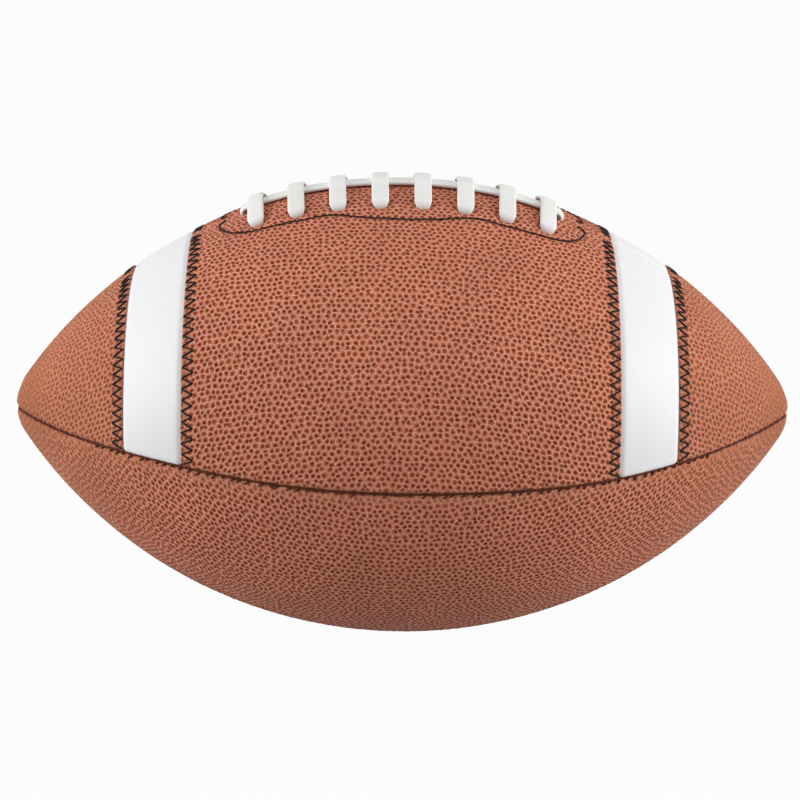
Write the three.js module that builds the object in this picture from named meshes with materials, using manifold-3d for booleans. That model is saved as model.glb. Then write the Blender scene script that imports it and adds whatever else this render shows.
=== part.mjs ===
// American football: a leather ball of four panels, laced on top, round a rubber bladder.
// Millimetres. X runs from tip to tip, Z is up and the lacing is on top.
// The front looks towards -Y, left is -X, and the belly of the ball rests at Z = 0.
import * as THREE from "three";
import { mergeVertices } from "three/addons/utils/BufferGeometryUtils.js";
import Module from "manifold-3d";

const wasm = await Module();
wasm.setup();

// The ball.
const LENGTH = 288;
const DIAMETER = 167.6;
const TIP_RADIUS = 16.6;
const GAP = 0.3; // between two pieces that touch

// The cover: leather panels with a groove along each seam.
const LEATHER = 2.0;
const SEAM_DIP = 1.4; // how far the edge of a panel turns in at a seam
const SEAM_TURN = 2; // width of the leather that turns in
const GROOVE_SHARE = 0.06; // largest share of a panel's width that turns in
const PANEL_TIP = 0.8; // radius at which the four panels stop short of the tip
const LINING = 0.7;
const LINING_TIP = 6;

// The white stripes, set under the thinned edges of the brown pieces.
const STRIPE_WIDTH = 25.4;
const STRIPE_FROM_TIP = 71.3; // along the leather, to the stripe's outer edge
const LAP = 6; // how far a stripe runs on under the brown edge
const LIP = 0.6; // thickness of the brown edge over a stripe
const SKIVE = 1; // length of the slope from the full leather to the lip

// The lacing.
const LACE_BARS = 8;
const LACE_PITCH = 15;
const LACE_REACH = 14.8; // from the seam to the middle of a lace hole
const LACE_WIDTH = 6.2;
const LACE_THICK = 1.6;
const LACE_IN_HOLE = 4.2; // the lace is squeezed to this width in a hole
const RAIL_OVERRUN = 5.5; // the long run of lace goes this far past the outer bars
const LACE_ROOM = 0.8; // above and below the lace where it turns inside the ball
const HOLE_RADIUS = 3;
const LACE_BULGE = 2.3; // the laced opening stands this far above a round ball
const BULGE_WIDTH = 30; // from the seam, around the ball
const FACING = 1;
const FACING_MARGIN = 10.5; // leather and facing beyond the lace holes
const GUARD = 0.8;

// The bladder and its valve.
const RUBBER = 0.7;
const VALVE_SHARE = 0.49; // of the way from the lacing to the back seam
const VALVE_NECK = 2.8;
const VALVE_FLANGE = 7;
const VALVE_STEM = 5;
const NEEDLE_RADIUS = 0.6;

const PANEL_CELLS = 8; // flat cells across the middle of a panel
const LINING_CELLS = 6;
const BLADDER_CELLS = 5;
const HOLE_SIDES = 8;
const RUN_STEP = 20; // longest cell along the ball
const BLADDER_STEP = 30;

// The outline of the ball is a long arc for the belly and a small arc for each tip.
const HALF = LENGTH / 2;
const RADIUS = DIAMETER / 2;
const TIP_X = HALF - TIP_RADIUS;
const BELLY = (TIP_X ** 2 + RADIUS ** 2 - TIP_RADIUS ** 2) / (2 * (RADIUS - TIP_RADIUS));
const TURN = Math.asin(TIP_X / (BELLY - TIP_RADIUS));
const BELLY_RUN = BELLY * TURN;
const HALF_RUN = BELLY_RUN + TIP_RADIUS * (Math.PI / 2 - TURN);
const QUARTER = Math.PI / 2;


/** How far a flat cell cuts in from the round, with this many cells across a panel. */
function flatness(cells, step) {
  return RADIUS * (1 - Math.cos(QUARTER / cells / 2)) + step ** 2 / (8 * BELLY);
}

// Depths below the leather.
const LINING_TOP = LEATHER + GAP + flatness(PANEL_CELLS, RUN_STEP);
const LACE_INSIDE = LINING_TOP + FACING + LACE_ROOM + LACE_THICK / 2;
const GUARD_TOP = LACE_INSIDE + LACE_THICK / 2 + LACE_ROOM;
const BLADDER_TOP = LINING_TOP + LINING + GAP + flatness(LINING_CELLS, RUN_STEP);
const WELL = GUARD_TOP + GUARD + GAP + flatness(PANEL_CELLS, RUN_STEP) - BLADDER_TOP;

// Distances from the middle of the ball along the leather.
const STRIPE_OUT = HALF_RUN - STRIPE_FROM_TIP;
const STRIPE_IN = STRIPE_OUT - STRIPE_WIDTH;
const LACE_ROW = ((LACE_BARS - 1) / 2) * LACE_PITCH;
const RAIL_END = LACE_ROW + RAIL_OVERRUN;
const FACING_END = RAIL_END + FACING_MARGIN;
const FACING_REACH = LACE_REACH + FACING_MARGIN;
const PANEL_END = HALF_RUN - TIP_RADIUS * Math.asin(PANEL_TIP / TIP_RADIUS);
const LINING_END = HALF_RUN - TIP_RADIUS * Math.asin(LINING_TIP / TIP_RADIUS);

/** Slope of the outline at a distance along the leather: zero at the middle. */
function slope(run) {
  const far = Math.abs(run);
  const turned = far <= BELLY_RUN ? far / BELLY : TURN + (far - BELLY_RUN) / TIP_RADIUS;
  return Math.sign(run) * Math.min(turned, QUARTER);
}

/** Distance of the leather from the long axis. */
function girth(run) {
  const a = slope(run);
  return Math.abs(a) <= TURN ? BELLY * Math.cos(a) - (BELLY - RADIUS) : TIP_RADIUS * Math.cos(a);
}

/** How far the laced opening stands up, at a distance along and around from its middle. */
function bulge(run, arc) {
  const along = Math.max(0, 1 - (run / STRIPE_IN) ** 4);
  const around = Math.max(0, 1 - (arc / BULGE_WIDTH) ** 2);
  return LACE_BULGE * along ** 2 * around ** 2;
}

/** Width of leather that turns in at a seam: less where the panel is narrow. */
function groove(run) {
  return Math.min(SEAM_TURN, GROOVE_SHARE * QUARTER * girth(run));
}

/** Point of the ball: along the leather, angle from the lacing towards the front, depth below. */
function onBall(run, angle, depth) {
  const a = slope(run);
  const turned = Math.atan2(Math.sin(angle), Math.cos(angle));
  const below = depth - bulge(run, turned * girth(run));
  const belly = Math.abs(a) <= TURN;
  const reach = (belly ? BELLY : TIP_RADIUS) - below;
  const x = reach * Math.sin(a) + (belly ? 0 : Math.sign(a) * TIP_X);
  const r = reach * Math.cos(a) - (belly ? BELLY - RADIUS : 0);
  return new THREE.Vector3(x, -r * Math.sin(angle), RADIUS + r * Math.cos(angle));
}

/** The same point with the distance from the lacing given along the leather. */
function nearLacing(run, arc, depth) {
  return onBall(run, arc / girth(run), depth);
}

/** Outward direction of the leather. */
function outward(run, angle) {
  return onBall(run, angle, -1).sub(onBall(run, angle, 0)).normalize();
}

/** Marks with more of them between, so that no step is longer than the one given. */
function fill(marks, step) {
  const lines = [marks[0]];
  marks.slice(1).forEach((mark, k) => {
    const cells = Math.max(1, Math.ceil((mark - marks[k]) / step - 1e-6));
    for (let i = 1; i <= cells; i++) lines.push(marks[k] + ((mark - marks[k]) * i) / cells);
  });
  return lines;
}

function geometryOf(points, faces) {
  const g = new THREE.BufferGeometry().setFromPoints(points);
  return g.setIndex(faces.flat());
}

/** Lines across a panel, from one seam to the next; its edges turn in at both seams. */
function acrossPanel(first, edges) {
  return (run) => {
    const inset = GAP / 2 / girth(run);
    const span = QUARTER - 2 * inset;
    const near = edges.map(([from, dip]) => [from(run) / (girth(run) * span), dip * SEAM_DIP]);
    const middle = Array.from({ length: PANEL_CELLS - 1 }, (_, k) => [(k + 1) / PANEL_CELLS, 0]);
    const far = near.map(([share, dip]) => [1 - share, dip]).reverse();
    return [...near, ...middle, ...far].map(([share, dip]) => ({
      angle: first + inset + span * share,
      dip,
    }));
  };
}

/** Lines at fixed distances from the lacing, with no turned-in edge. */
function acrossLacing(arcs) {
  return (run) => arcs.map((arc) => ({ angle: arc / girth(run), dip: 0 }));
}

/** Sheet between two depths, closed round its border. */
function sheet(runs, across, outer, inner) {
  const rows = runs.map((run) => across(run));
  const cols = rows[0].length;
  const side = (depth) =>
    rows.flatMap((row, i) =>
      row.map(({ angle, dip }) => onBall(runs[i], angle, depth(runs[i]) + dip)),
    );
  const at = (i, j) => i * cols + j;
  const under = runs.length * cols;
  const faces = [];
  for (let i = 0; i + 1 < runs.length; i++) {
    for (let j = 0; j + 1 < cols; j++) {
      const [a, b, c, d] = [at(i, j), at(i, j + 1), at(i + 1, j), at(i + 1, j + 1)];
      faces.push([a, b, c], [c, b, d]);
      faces.push([under + a, under + c, under + b], [under + c, under + d, under + b]);
    }
  }
  const last = runs.length - 1;
  const border = [
    ...rows[0].map((_, j) => at(0, j)),
    ...runs.slice(1).map((_, i) => at(i + 1, cols - 1)),
    ...rows[0].slice(1).map((_, j) => at(last, cols - 2 - j)),
    ...runs.slice(1, -1).map((_, i) => at(last - 1 - i, 0)),
  ];
  border.forEach((u, k) => {
    const v = border[(k + 1) % border.length];
    faces.push([v, u, under + u], [v, under + u, under + v]);
  });
  return geometryOf([...side(outer), ...side(inner)], faces);
}

/** Section carried along stations; each station has half its width and thickness as vectors. */
function sweep(stations, section) {
  const n = section.length;
  const points = stations.flatMap(({ at, wide, thick }) =>
    section.map(([u, v]) => at.clone().addScaledVector(wide, u).addScaledVector(thick, v)),
  );
  const faces = [];
  for (let k = 0; k + 1 < stations.length; k++) {
    for (let i = 0; i < n; i++) {
      const [a, b] = [k * n + i, k * n + ((i + 1) % n)];
      faces.push([a, a + n, b], [b, a + n, b + n]);
    }
  }
  const end = (stations.length - 1) * n;
  for (let i = 1; i + 1 < n; i++) {
    faces.push([0, i, i + 1], [end, end + i + 1, end + i]);
  }
  return geometryOf(points, faces);
}

function solid(geometry) {
  const bare = new THREE.BufferGeometry().setAttribute("position", geometry.getAttribute("position"));
  const whole = mergeVertices(bare.setIndex(geometry.index), 1e-4);
  return new wasm.Manifold(
    new wasm.Mesh({
      numProp: 3,
      vertProperties: whole.getAttribute("position").array,
      triVerts: new Uint32Array(whole.index.array),
    }),
  );
}

/** Geometry with tools taken away from it. */
function cut(geometry, tools) {
  const left = tools.reduce((body, tool) => body.subtract(solid(tool)), solid(geometry));
  const mesh = left.getMesh();
  const made = new THREE.BufferGeometry();
  made.setAttribute("position", new THREE.BufferAttribute(mesh.vertProperties, 3));
  return made.setIndex(new THREE.BufferAttribute(mesh.triVerts, 1));
}

/** Turns a geometry made round the Y axis so that Y points out of the ball at a place. */
function standOn(geometry, run, angle) {
  const up = new THREE.Quaternion().setFromUnitVectors(
    new THREE.Vector3(0, 1, 0),
    outward(run, angle),
  );
  const at = onBall(run, angle, 0);
  return geometry.applyMatrix4(new THREE.Matrix4().compose(at, up, new THREE.Vector3(1, 1, 1)));
}

/** Round tool that goes right through the wall of the ball. */
function drill(run, angle, radius) {
  return standOn(new THREE.CylinderGeometry(radius, radius, 4 * LACE_INSIDE, HOLE_SIDES), run, angle);
}

const football = new THREE.Group();
football.name = "american_football";

const FINISH = {
  leather: { color: 0xa8563f, roughness: 0.55, metalness: 0 },
  white: { color: 0xf2f2f2, roughness: 0.5, metalness: 0 },
  lace: { color: 0xf7f7f4, roughness: 0.6, metalness: 0 },
  thread: { color: 0x241a1a, roughness: 0.7, metalness: 0 },
  lining: { color: 0xcfc6b2, roughness: 0.9, metalness: 0 },
  facing: { color: 0x5a4636, roughness: 0.85, metalness: 0 },
  rubber: { color: 0x1c1c1d, roughness: 0.6, metalness: 0 },
};

function piece(name, geometry, finish) {
  const mesh = new THREE.Mesh(geometry, new THREE.MeshStandardMaterial(FINISH[finish]));
  mesh.name = name;
  football.add(mesh);
}

const SIDES = { front: 1, back: -1 };
const ENDS = { left: -1, right: 1 };

/** The same list of distances on the left half, in rising order. */
function mirrored(list, end) {
  return end > 0 ? list : list.map((v) => -v).reverse();
}

// Holes for the lace: a row on each side, and one at each end of the seam.
const barRuns = Array.from({ length: LACE_BARS }, (_, k) => LACE_ROW - k * LACE_PITCH);
const seamHoles = [-RAIL_END, RAIL_END].map((run) => drill(run, 0, HOLE_RADIUS));
const rowHoles = (side) =>
  barRuns.map((run) => drill(run, (side * LACE_REACH) / girth(run), HOLE_RADIUS));

const valveAngle = -VALVE_SHARE * QUARTER;
const valveHole = drill(0, valveAngle, VALVE_NECK + GAP);

// Panels. Their edges are given as distance from the seam and share of the dip.
const PANEL_EDGE = [
  [() => 0, 1],
  [groove, 0.1],
];
const PANEL_START = {
  upper_front: 0,
  lower_front: QUARTER,
  lower_back: 2 * QUARTER,
  upper_back: 3 * QUARTER,
};

const lipStart = STRIPE_IN - LAP - GAP;
const lipEnd = STRIPE_OUT + LAP + GAP;

/** Inner face of a brown piece: thin over the stripes, with a slope up to the full leather. */
function brownInside(run) {
  const far = Math.abs(run);
  if (far >= lipStart && far <= lipEnd) return LIP;
  return LEATHER;
}

const stripeTop = LIP + GAP;
const centreMarks = [0, lipStart - SKIVE, lipStart, STRIPE_IN];
const stripeMarks = [STRIPE_IN - LAP, STRIPE_IN, STRIPE_OUT, STRIPE_OUT + LAP];
const tipMarks = [STRIPE_OUT, lipEnd, lipEnd + SKIVE, BELLY_RUN];
const tipTurn = fill([BELLY_RUN, PANEL_END], (HALF_RUN - BELLY_RUN) / 3);
const centreRuns = fill([...mirrored(centreMarks, -1), ...centreMarks.slice(1)], RUN_STEP);

for (const [name, side] of Object.entries(SIDES)) {
  const across = acrossPanel(PANEL_START["upper_" + name], PANEL_EDGE);
  const centre = sheet(centreRuns, across, () => 0, brownInside);
  const holes = [...rowHoles(side), ...seamHoles];
  piece("upper_" + name + "_center", cut(centre, side < 0 ? [...holes, valveHole] : holes), "leather");
  for (const [end, sign] of Object.entries(ENDS)) {
    const stripe = sheet(mirrored(fill(stripeMarks, RUN_STEP), sign), across, () => stripeTop, () => LEATHER);
    piece("upper_" + name + "_stripe_" + end, stripe, "white");
    const runs = mirrored([...fill(tipMarks, RUN_STEP), ...tipTurn.slice(1)], sign);
    piece("upper_" + name + "_tip_" + end, sheet(runs, across, () => 0, brownInside), "leather");
  }
  const lower = acrossPanel(PANEL_START["lower_" + name], PANEL_EDGE);
  const halfRuns = [...fill([0, BELLY_RUN], RUN_STEP), ...tipTurn.slice(1)];
  const runs = [...mirrored(halfRuns, -1), ...halfRuns.slice(1)];
  piece("lower_" + name + "_panel", sheet(runs, lower, () => 0, () => LEATHER), "leather");
}

// Linings, bonded to the inside of each panel and trimmed back from its seams.
// Those of the upper panels are cut away where the facing of the lace holes takes their place.
const trim = SEAM_TURN + GAP;
const slantEnd = FACING_END + GAP + FACING_REACH;

function acrossLining(first, upper, side) {
  return (run) => {
    const slant = Math.min(FACING_REACH, slantEnd - Math.abs(run)) + GAP;
    const near = (upper ? Math.max(trim, slant) : trim) / girth(run);
    const far = QUARTER - trim / girth(run);
    const shares = Array.from({ length: LINING_CELLS + 1 }, (_, k) => k / LINING_CELLS);
    const angles = shares.map((share) => near + (far - near) * share);
    return mirrored(angles, side).map((angle) => ({ angle: first + angle, dip: 0 }));
  };
}

const liningHalf = [...fill([0, FACING_END + GAP, slantEnd, BELLY_RUN], RUN_STEP), LINING_END];
const liningRuns = [...mirrored(liningHalf, -1), ...liningHalf.slice(1)];
for (const [name, side] of Object.entries(SIDES)) {
  const skin = (across) => sheet(liningRuns, across, () => LINING_TOP, () => LINING_TOP + LINING);
  const upper = skin(acrossLining(0, true, side));
  piece("lining_upper_" + name, side < 0 ? cut(upper, [valveHole]) : upper, "lining");
  piece("lining_lower_" + name, skin(acrossLining(2 * QUARTER, false, -side)), "lining");
}

// Facings behind the lace holes, and the guard that keeps the lace off the bladder.
for (const [name, side] of Object.entries(SIDES)) {
  const arcs = mirrored(fill([trim, FACING_REACH], FACING_REACH / 2), side);
  const runs = fill([-FACING_END, FACING_END], RUN_STEP);
  const body = sheet(runs, acrossLacing(arcs), () => LINING_TOP, () => LINING_TOP + FACING);
  piece("lace_facing_" + name, cut(body, [...rowHoles(side), ...seamHoles]), "facing");
}
const guardReach = LACE_REACH + LACE_WIDTH / 2;
const guardArcs = fill([-guardReach, guardReach], LACE_REACH);
const guardRuns = fill([-FACING_END, FACING_END], RUN_STEP);
piece(
  "lace_guard",
  sheet(guardRuns, acrossLacing(guardArcs), () => GUARD_TOP, () => GUARD_TOP + GUARD),
  "facing",
);

// The lace is one flat cord. Each step of its way is
// [run, arc, depth, width along the run, width around the ball, half width].
const inner = LACE_INSIDE;
const bend = 1.5 * LACE_THICK;
const held = LACE_IN_HOLE / 2;
const free = LACE_WIDTH / 2;
const railDepth = -(LACE_THICK / 2 + GAP);
const barDepth = railDepth - LACE_THICK - GAP / 2;

/** Steps through a hole from below; the lace leaves it above in the direction given. */
function upThrough([run, arc], from, to, wide) {
  const below = (back, depth) => [run - back * from[0], arc - back * from[1], depth];
  const above = (on, depth) => [run + on * to[0], arc + on * to[1], depth];
  return [
    [...below(bend, inner), ...from.wide, free],
    [...below(bend / 3, inner - bend / 5), ...wide, held],
    [run, arc, inner - bend, ...wide, held],
    [...above(bend / 4, railDepth / 2), ...wide, held],
    [...above(bend, railDepth), ...wide, free],
  ];
}

/** Directions of the lace along the run and around the ball, with its width across them. */
function heading(run, arc) {
  const far = Math.hypot(run, arc);
  const way = [run / far, arc / far];
  way.wide = [way[1], -way[0]];
  return way;
}

const RUNWARD = [1, 0];
const AROUND = [0, 1];
const outOfSeam = Object.assign([1, 0], { wide: AROUND });
const intoSeam = Object.assign([-1, 0], { wide: AROUND });

/** The same steps walked the other way. */
function downThrough(place, from, to, wide) {
  return upThrough(place, from, to, wide).reverse();
}

const lead = heading(LACE_ROW - RAIL_END, LACE_REACH);
const cross = heading(-LACE_PITCH, 2 * LACE_REACH);
const away = (way) => Object.assign([-way[0], -way[1]], { wide: way.wide });
const lacePath = [[-RAIL_END - FACING_MARGIN + GAP, 0, inner, ...AROUND, free]];
lacePath.push(...upThrough([-RAIL_END, 0], outOfSeam, outOfSeam, AROUND));
const railSteps = fill([-LACE_ROW, LACE_ROW], LACE_PITCH);
lacePath.push(...railSteps.map((run) => [run, 0, railDepth, ...AROUND, free]));
lacePath.push(...downThrough([RAIL_END, 0], away(lead), intoSeam, AROUND));
barRuns.forEach((run, k) => {
  const toBack = [0, -1];
  const way = k ? cross : lead;
  const before = k ? [run + LACE_PITCH / 2, 0] : [(RAIL_END + run) / 2, LACE_REACH / 2];
  lacePath.push([...before, inner, ...way.wide, free]);
  lacePath.push(...upThrough([run, LACE_REACH], way, toBack, RUNWARD));
  lacePath.push([run, LACE_WIDTH, (railDepth + barDepth) / 2, ...RUNWARD, free]);
  lacePath.push([run, free, barDepth, ...RUNWARD, free]);
  lacePath.push([run, -free, barDepth, ...RUNWARD, free]);
  lacePath.push([run, -LACE_WIDTH, (railDepth + barDepth) / 2, ...RUNWARD, free]);
  const last = k === LACE_BARS - 1;
  lacePath.push(...downThrough([run, -LACE_REACH], away(last ? lead : cross), AROUND, RUNWARD));
  if (last) lacePath.push([run + free * lead[0], -LACE_REACH + free * lead[1], inner, ...lead.wide, free]);
});

const LACE_SECTION = [
  [1, 0],
  [0.72, 1],
  [-0.72, 1],
  [-1, 0],
  [-0.72, -1],
  [0.72, -1],
];

/** Flat cord along the steps of a lace path. */
function lacing(path) {
  const way = new THREE.CatmullRomCurve3(path.map(([run, arc, depth]) => nearLacing(run, arc, depth)));
  const stations = path.flatMap((step, k) => {
    const next = path[Math.min(k + 1, path.length - 1)];
    const long = Math.hypot(next[0] - step[0], next[1] - step[1]) > LACE_WIDTH;
    const parts = long ? [0, 0.5] : [0];
    return parts.map((part) => {
      const [run, arc, , alongRun, aroundBall, half] = step.map((v, i) => v + part * (next[i] - v));
      const t = (k + part) / (path.length - 1);
      const along = way.getTangent(t);
      const here = nearLacing(run, arc, 0);
      const runWay = nearLacing(run + 1, arc, 0).sub(here).multiplyScalar(alongRun);
      const wide = nearLacing(run, arc + 1, 0).sub(here).multiplyScalar(aroundBall).add(runWay);
      wide.addScaledVector(along, -wide.dot(along)).normalize();
      const thick = wide.clone().cross(along).multiplyScalar(LACE_THICK / 2);
      return { at: way.getPoint(t), wide: wide.multiplyScalar(half), thick };
    });
  });
  return sweep(stations, LACE_SECTION);
}
piece("lace", lacing(lacePath), "lace");

// The bladder: a closed rubber skin with a well under the lacing and a hole for the valve.
function bladderDepth(run, angle) {
  const turned = Math.atan2(Math.sin(angle), Math.cos(angle));
  const past = Math.abs(turned * girth(run)) - 1.25 * guardReach;
  const beyond = Math.abs(run) - FACING_END - RUN_STEP / 2;
  const around = THREE.MathUtils.clamp(1 - past / guardReach, 0, 1);
  const along = THREE.MathUtils.clamp(1 - beyond / guardReach, 0, 1);
  return BLADDER_TOP + WELL * around * along;
}

function bladderSkin(more, turnedOut) {
  const half = [...fill([0, BELLY_RUN], BLADDER_STEP), (BELLY_RUN + HALF_RUN) / 2];
  const runs = [...mirrored(half, -1), ...half.slice(1)];
  const n = 4 * BLADDER_CELLS;
  const points = runs.flatMap((run) =>
    Array.from({ length: n }, (_, j) => {
      const angle = (j / n) * 2 * Math.PI;
      return onBall(run, angle, bladderDepth(run, angle) + more);
    }),
  );
  const poles = [points.length, points.length + 1];
  points.push(onBall(-HALF_RUN, 0, BLADDER_TOP + more), onBall(HALF_RUN, 0, BLADDER_TOP + more));
  const top = (runs.length - 1) * n;
  const faces = [];
  for (let j = 0; j < n; j++) {
    const next = (j + 1) % n;
    for (let k = 0; k < top; k += n) {
      faces.push([k + j, k + next, k + n + j], [k + n + j, k + next, k + n + next]);
    }
    faces.push([poles[0], next, j], [poles[1], top + j, top + next]);
  }
  return { points, faces: turnedOut ? faces : faces.map(([a, b, c]) => [a, c, b]) };
}

const skin = bladderSkin(0, true);
const hollow = bladderSkin(RUBBER, false);
const rubber = geometryOf(
  [...skin.points, ...hollow.points],
  [...skin.faces, ...hollow.faces.map((face) => face.map((v) => v + skin.points.length))],
);
piece("bladder", cut(rubber, [valveHole]), "rubber");

// The valve stands in the wall at the back, its flange inside the bladder.
const flangeDrop = VALVE_FLANGE ** 2 / (2 * RADIUS);
const flangeTop = BLADDER_TOP + RUBBER + GAP + flangeDrop + flatness(BLADDER_CELLS, BLADDER_STEP);
const flangeBottom = flangeTop + RUBBER;
const stemEnd = flangeBottom + VALVE_STEM;
const valveOutline = [
  [0, stemEnd],
  [VALVE_NECK, stemEnd],
  [VALVE_NECK, flangeBottom],
  [VALVE_FLANGE, flangeBottom],
  [VALVE_FLANGE, flangeTop],
  [VALVE_NECK, flangeTop],
  [VALVE_NECK, GAP],
  [NEEDLE_RADIUS, GAP],
  [NEEDLE_RADIUS, flangeBottom],
  [0, flangeBottom],
].map(([r, depth]) => new THREE.Vector2(r, -depth));
piece("valve", standOn(new THREE.LatheGeometry(valveOutline, 12), 0, valveAngle), "rubber");

export default football;
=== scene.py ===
"""Looks of a laced american football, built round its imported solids.

Sizes are millimetres on the leather and become metres when a mesh is made. A place on the ball
is a run (along the leather from the middle, towards +X), an angle (round the long axis, from the
lacing towards the front) and a depth (below the leather, negative above it).
"""

import logging
import math
from collections.abc import Sequence
from dataclasses import dataclass, field
from enum import Enum

import bpy
import numpy as np
from mathutils import Matrix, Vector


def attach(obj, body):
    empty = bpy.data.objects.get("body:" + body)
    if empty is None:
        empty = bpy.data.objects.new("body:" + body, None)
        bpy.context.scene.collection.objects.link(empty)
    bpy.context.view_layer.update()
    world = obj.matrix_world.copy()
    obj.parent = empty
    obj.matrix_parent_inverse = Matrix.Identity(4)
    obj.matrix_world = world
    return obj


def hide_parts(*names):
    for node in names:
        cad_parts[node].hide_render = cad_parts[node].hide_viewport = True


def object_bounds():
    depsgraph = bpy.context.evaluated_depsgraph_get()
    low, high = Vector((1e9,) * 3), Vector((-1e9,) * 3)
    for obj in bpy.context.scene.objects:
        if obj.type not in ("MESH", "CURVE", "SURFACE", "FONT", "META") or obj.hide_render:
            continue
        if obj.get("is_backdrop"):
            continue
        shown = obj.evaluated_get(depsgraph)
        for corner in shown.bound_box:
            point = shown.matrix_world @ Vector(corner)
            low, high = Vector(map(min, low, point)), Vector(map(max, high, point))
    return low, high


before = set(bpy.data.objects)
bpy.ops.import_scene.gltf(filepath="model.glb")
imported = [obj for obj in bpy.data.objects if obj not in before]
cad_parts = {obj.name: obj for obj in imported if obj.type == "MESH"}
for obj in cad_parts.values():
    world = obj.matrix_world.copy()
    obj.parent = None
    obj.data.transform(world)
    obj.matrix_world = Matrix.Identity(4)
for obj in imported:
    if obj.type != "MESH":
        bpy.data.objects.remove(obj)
CAD_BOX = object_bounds()

LOG = logging.getLogger("football")
MM = 0.001
QUARTER = math.pi / 2
BODY = "root"
SHARP = 60.0  # degrees between faces from which an edge is shown sharp
FAR = 99.0  # a distance past every mark, in millimetres

Array = np.ndarray
Colour = tuple[float, float, float, float]
Pair = tuple[float, float]
Pairs = tuple[Pair, ...]
Step = list[float]
Inputs = dict[str | int, object]
Material = bpy.types.Material
Node = bpy.types.Node
NodeTree = bpy.types.NodeTree
Socket = bpy.types.NodeSocket
BlenderObject = bpy.types.Object


class Slot(Enum):
    """Finishes named in the record."""

    BROWN = "brown_leather"
    WHITE = "white_leather"
    LACE = "white_lace"
    DARK_CLOTH = "dark_cloth"
    LINING = "lining_cloth"
    RUBBER = "black_rubber"


class Named(Enum):
    """Choice that is part of the names of pieces."""

    @property
    def word(self) -> str:
        """Its name in small letters."""
        return self.name.lower()


class Side(Named):
    """Sides of the lacing, as the sign of the angle."""

    FRONT = 1
    BACK = -1


class End(Named):
    """Ends of the ball, as the sign of the run."""

    LEFT = -1
    RIGHT = 1


class Level(Named):
    """Halves of the ball above and below the front and back seams, in the order of building."""

    UPPER = 0
    LOWER = 1


class StripeEdge(Named):
    """Edges of a stripe, as the sign of the way off the stripe there."""

    INNER = -1
    OUTER = 1


class Seam(Named):
    """Seams along the ball, in quarter turns from the lacing towards the front."""

    TOP = 0
    FRONT = 1
    BOTTOM = 2
    BACK = 3

    @property
    def angle(self) -> float:
        """Angle of the seam in radians."""
        return self.value * QUARTER


# Shared mathematics


def smoothstep(low: float, high: float, value: Array) -> Array:
    """Soft step: 3t^2 - 2t^3 with t the clamped share of the way from low to high."""
    share = np.clip((value - low) / (high - low), 0.0, 1.0)
    return share * share * (3.0 - 2.0 * share)


def chance(first: Array, second: Array | float, salt: float) -> Array:
    """Even random numbers from 0 to 1 that are the same each run.

    Args:
        first: First number of a cell.
        second: Second number of a cell.
        salt: Sets one draw apart from another.

    Returns:
        The fraction of a steep sine of a mix of the three.
    """
    first_share, second_share, salt_share, steepness = 127.1, 311.7, 74.7, 43758.5453
    mixed = first * first_share + second * second_share + salt * salt_share
    steep = np.sin(mixed) * steepness
    return steep - np.floor(steep)


def jumbled(*cell: Array) -> Array:
    """Even random numbers from 0 to 1, as Blender's cell textures draw them.

    Args:
        cell: Two or three whole numbers of a cell.

    Returns:
        The bits of the numbers, mixed in seven turns, divided by the largest number.
    """
    seed, added, largest, width = 0xDEADBEEF, 13, 0xFFFFFFFF, 32
    bits = [np.asarray(number, np.float32).view(np.uint32) for number in cell]
    start = np.uint32(seed + 4 * len(bits) + added)
    first, second, third = (start + part for part in (*bits, np.uint32(0))[:3])
    for shift in (14, 11, 25, 16, 4, 14, 24):
        turned = (second << np.uint32(shift)) | (second >> np.uint32(width - shift))
        first, second, third = second, (third ^ second) - turned, first
    return second / largest


def unit(vectors: Array) -> Array:
    """Vectors along the last axis, each divided by its length."""
    return vectors / np.linalg.norm(vectors, axis=-1, keepdims=True)


def from_lacing(angle: Array) -> Array:
    """Angles from the lacing, at most half a turn either way."""
    return np.arctan2(np.sin(angle), np.cos(angle))


def bell(value: Array, width: float) -> Array:
    """Bell of height 1: the exponential of minus the square of the value over the width."""
    return np.exp(-((value / width) ** 2))


def circle(count: int) -> Array:
    """(n, 2) points round a circle of radius 1, counter-clockwise."""
    turn = np.linspace(0, 2 * math.pi, count, endpoint=False)
    return np.stack([np.cos(turn), np.sin(turn)], -1)


def graded(length: float, step: float, edge: Sequence[float]) -> Array:
    """Marks from 0 to a length, close together at both ends.

    Args:
        length: Whole length.
        step: Distance between marks in the middle, about.
        edge: Distances of the first marks from each end, rising from 0.

    Returns:
        The edge marks, even marks between the last of them on either side, and their mirror.
    """
    near = np.asarray(edge)
    inside = length - 2 * near[-1]
    middle = np.linspace(near[-1], length - near[-1], max(2, round(inside / step) + 1))
    return np.concatenate([near[:-1], middle, (length - near[:-1])[::-1]])


def picks(count: int, step: int) -> Array:
    """Every step-th number below count, with the last one always among them."""
    return np.unique(np.append(np.arange(0, count, step), count - 1))


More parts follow.
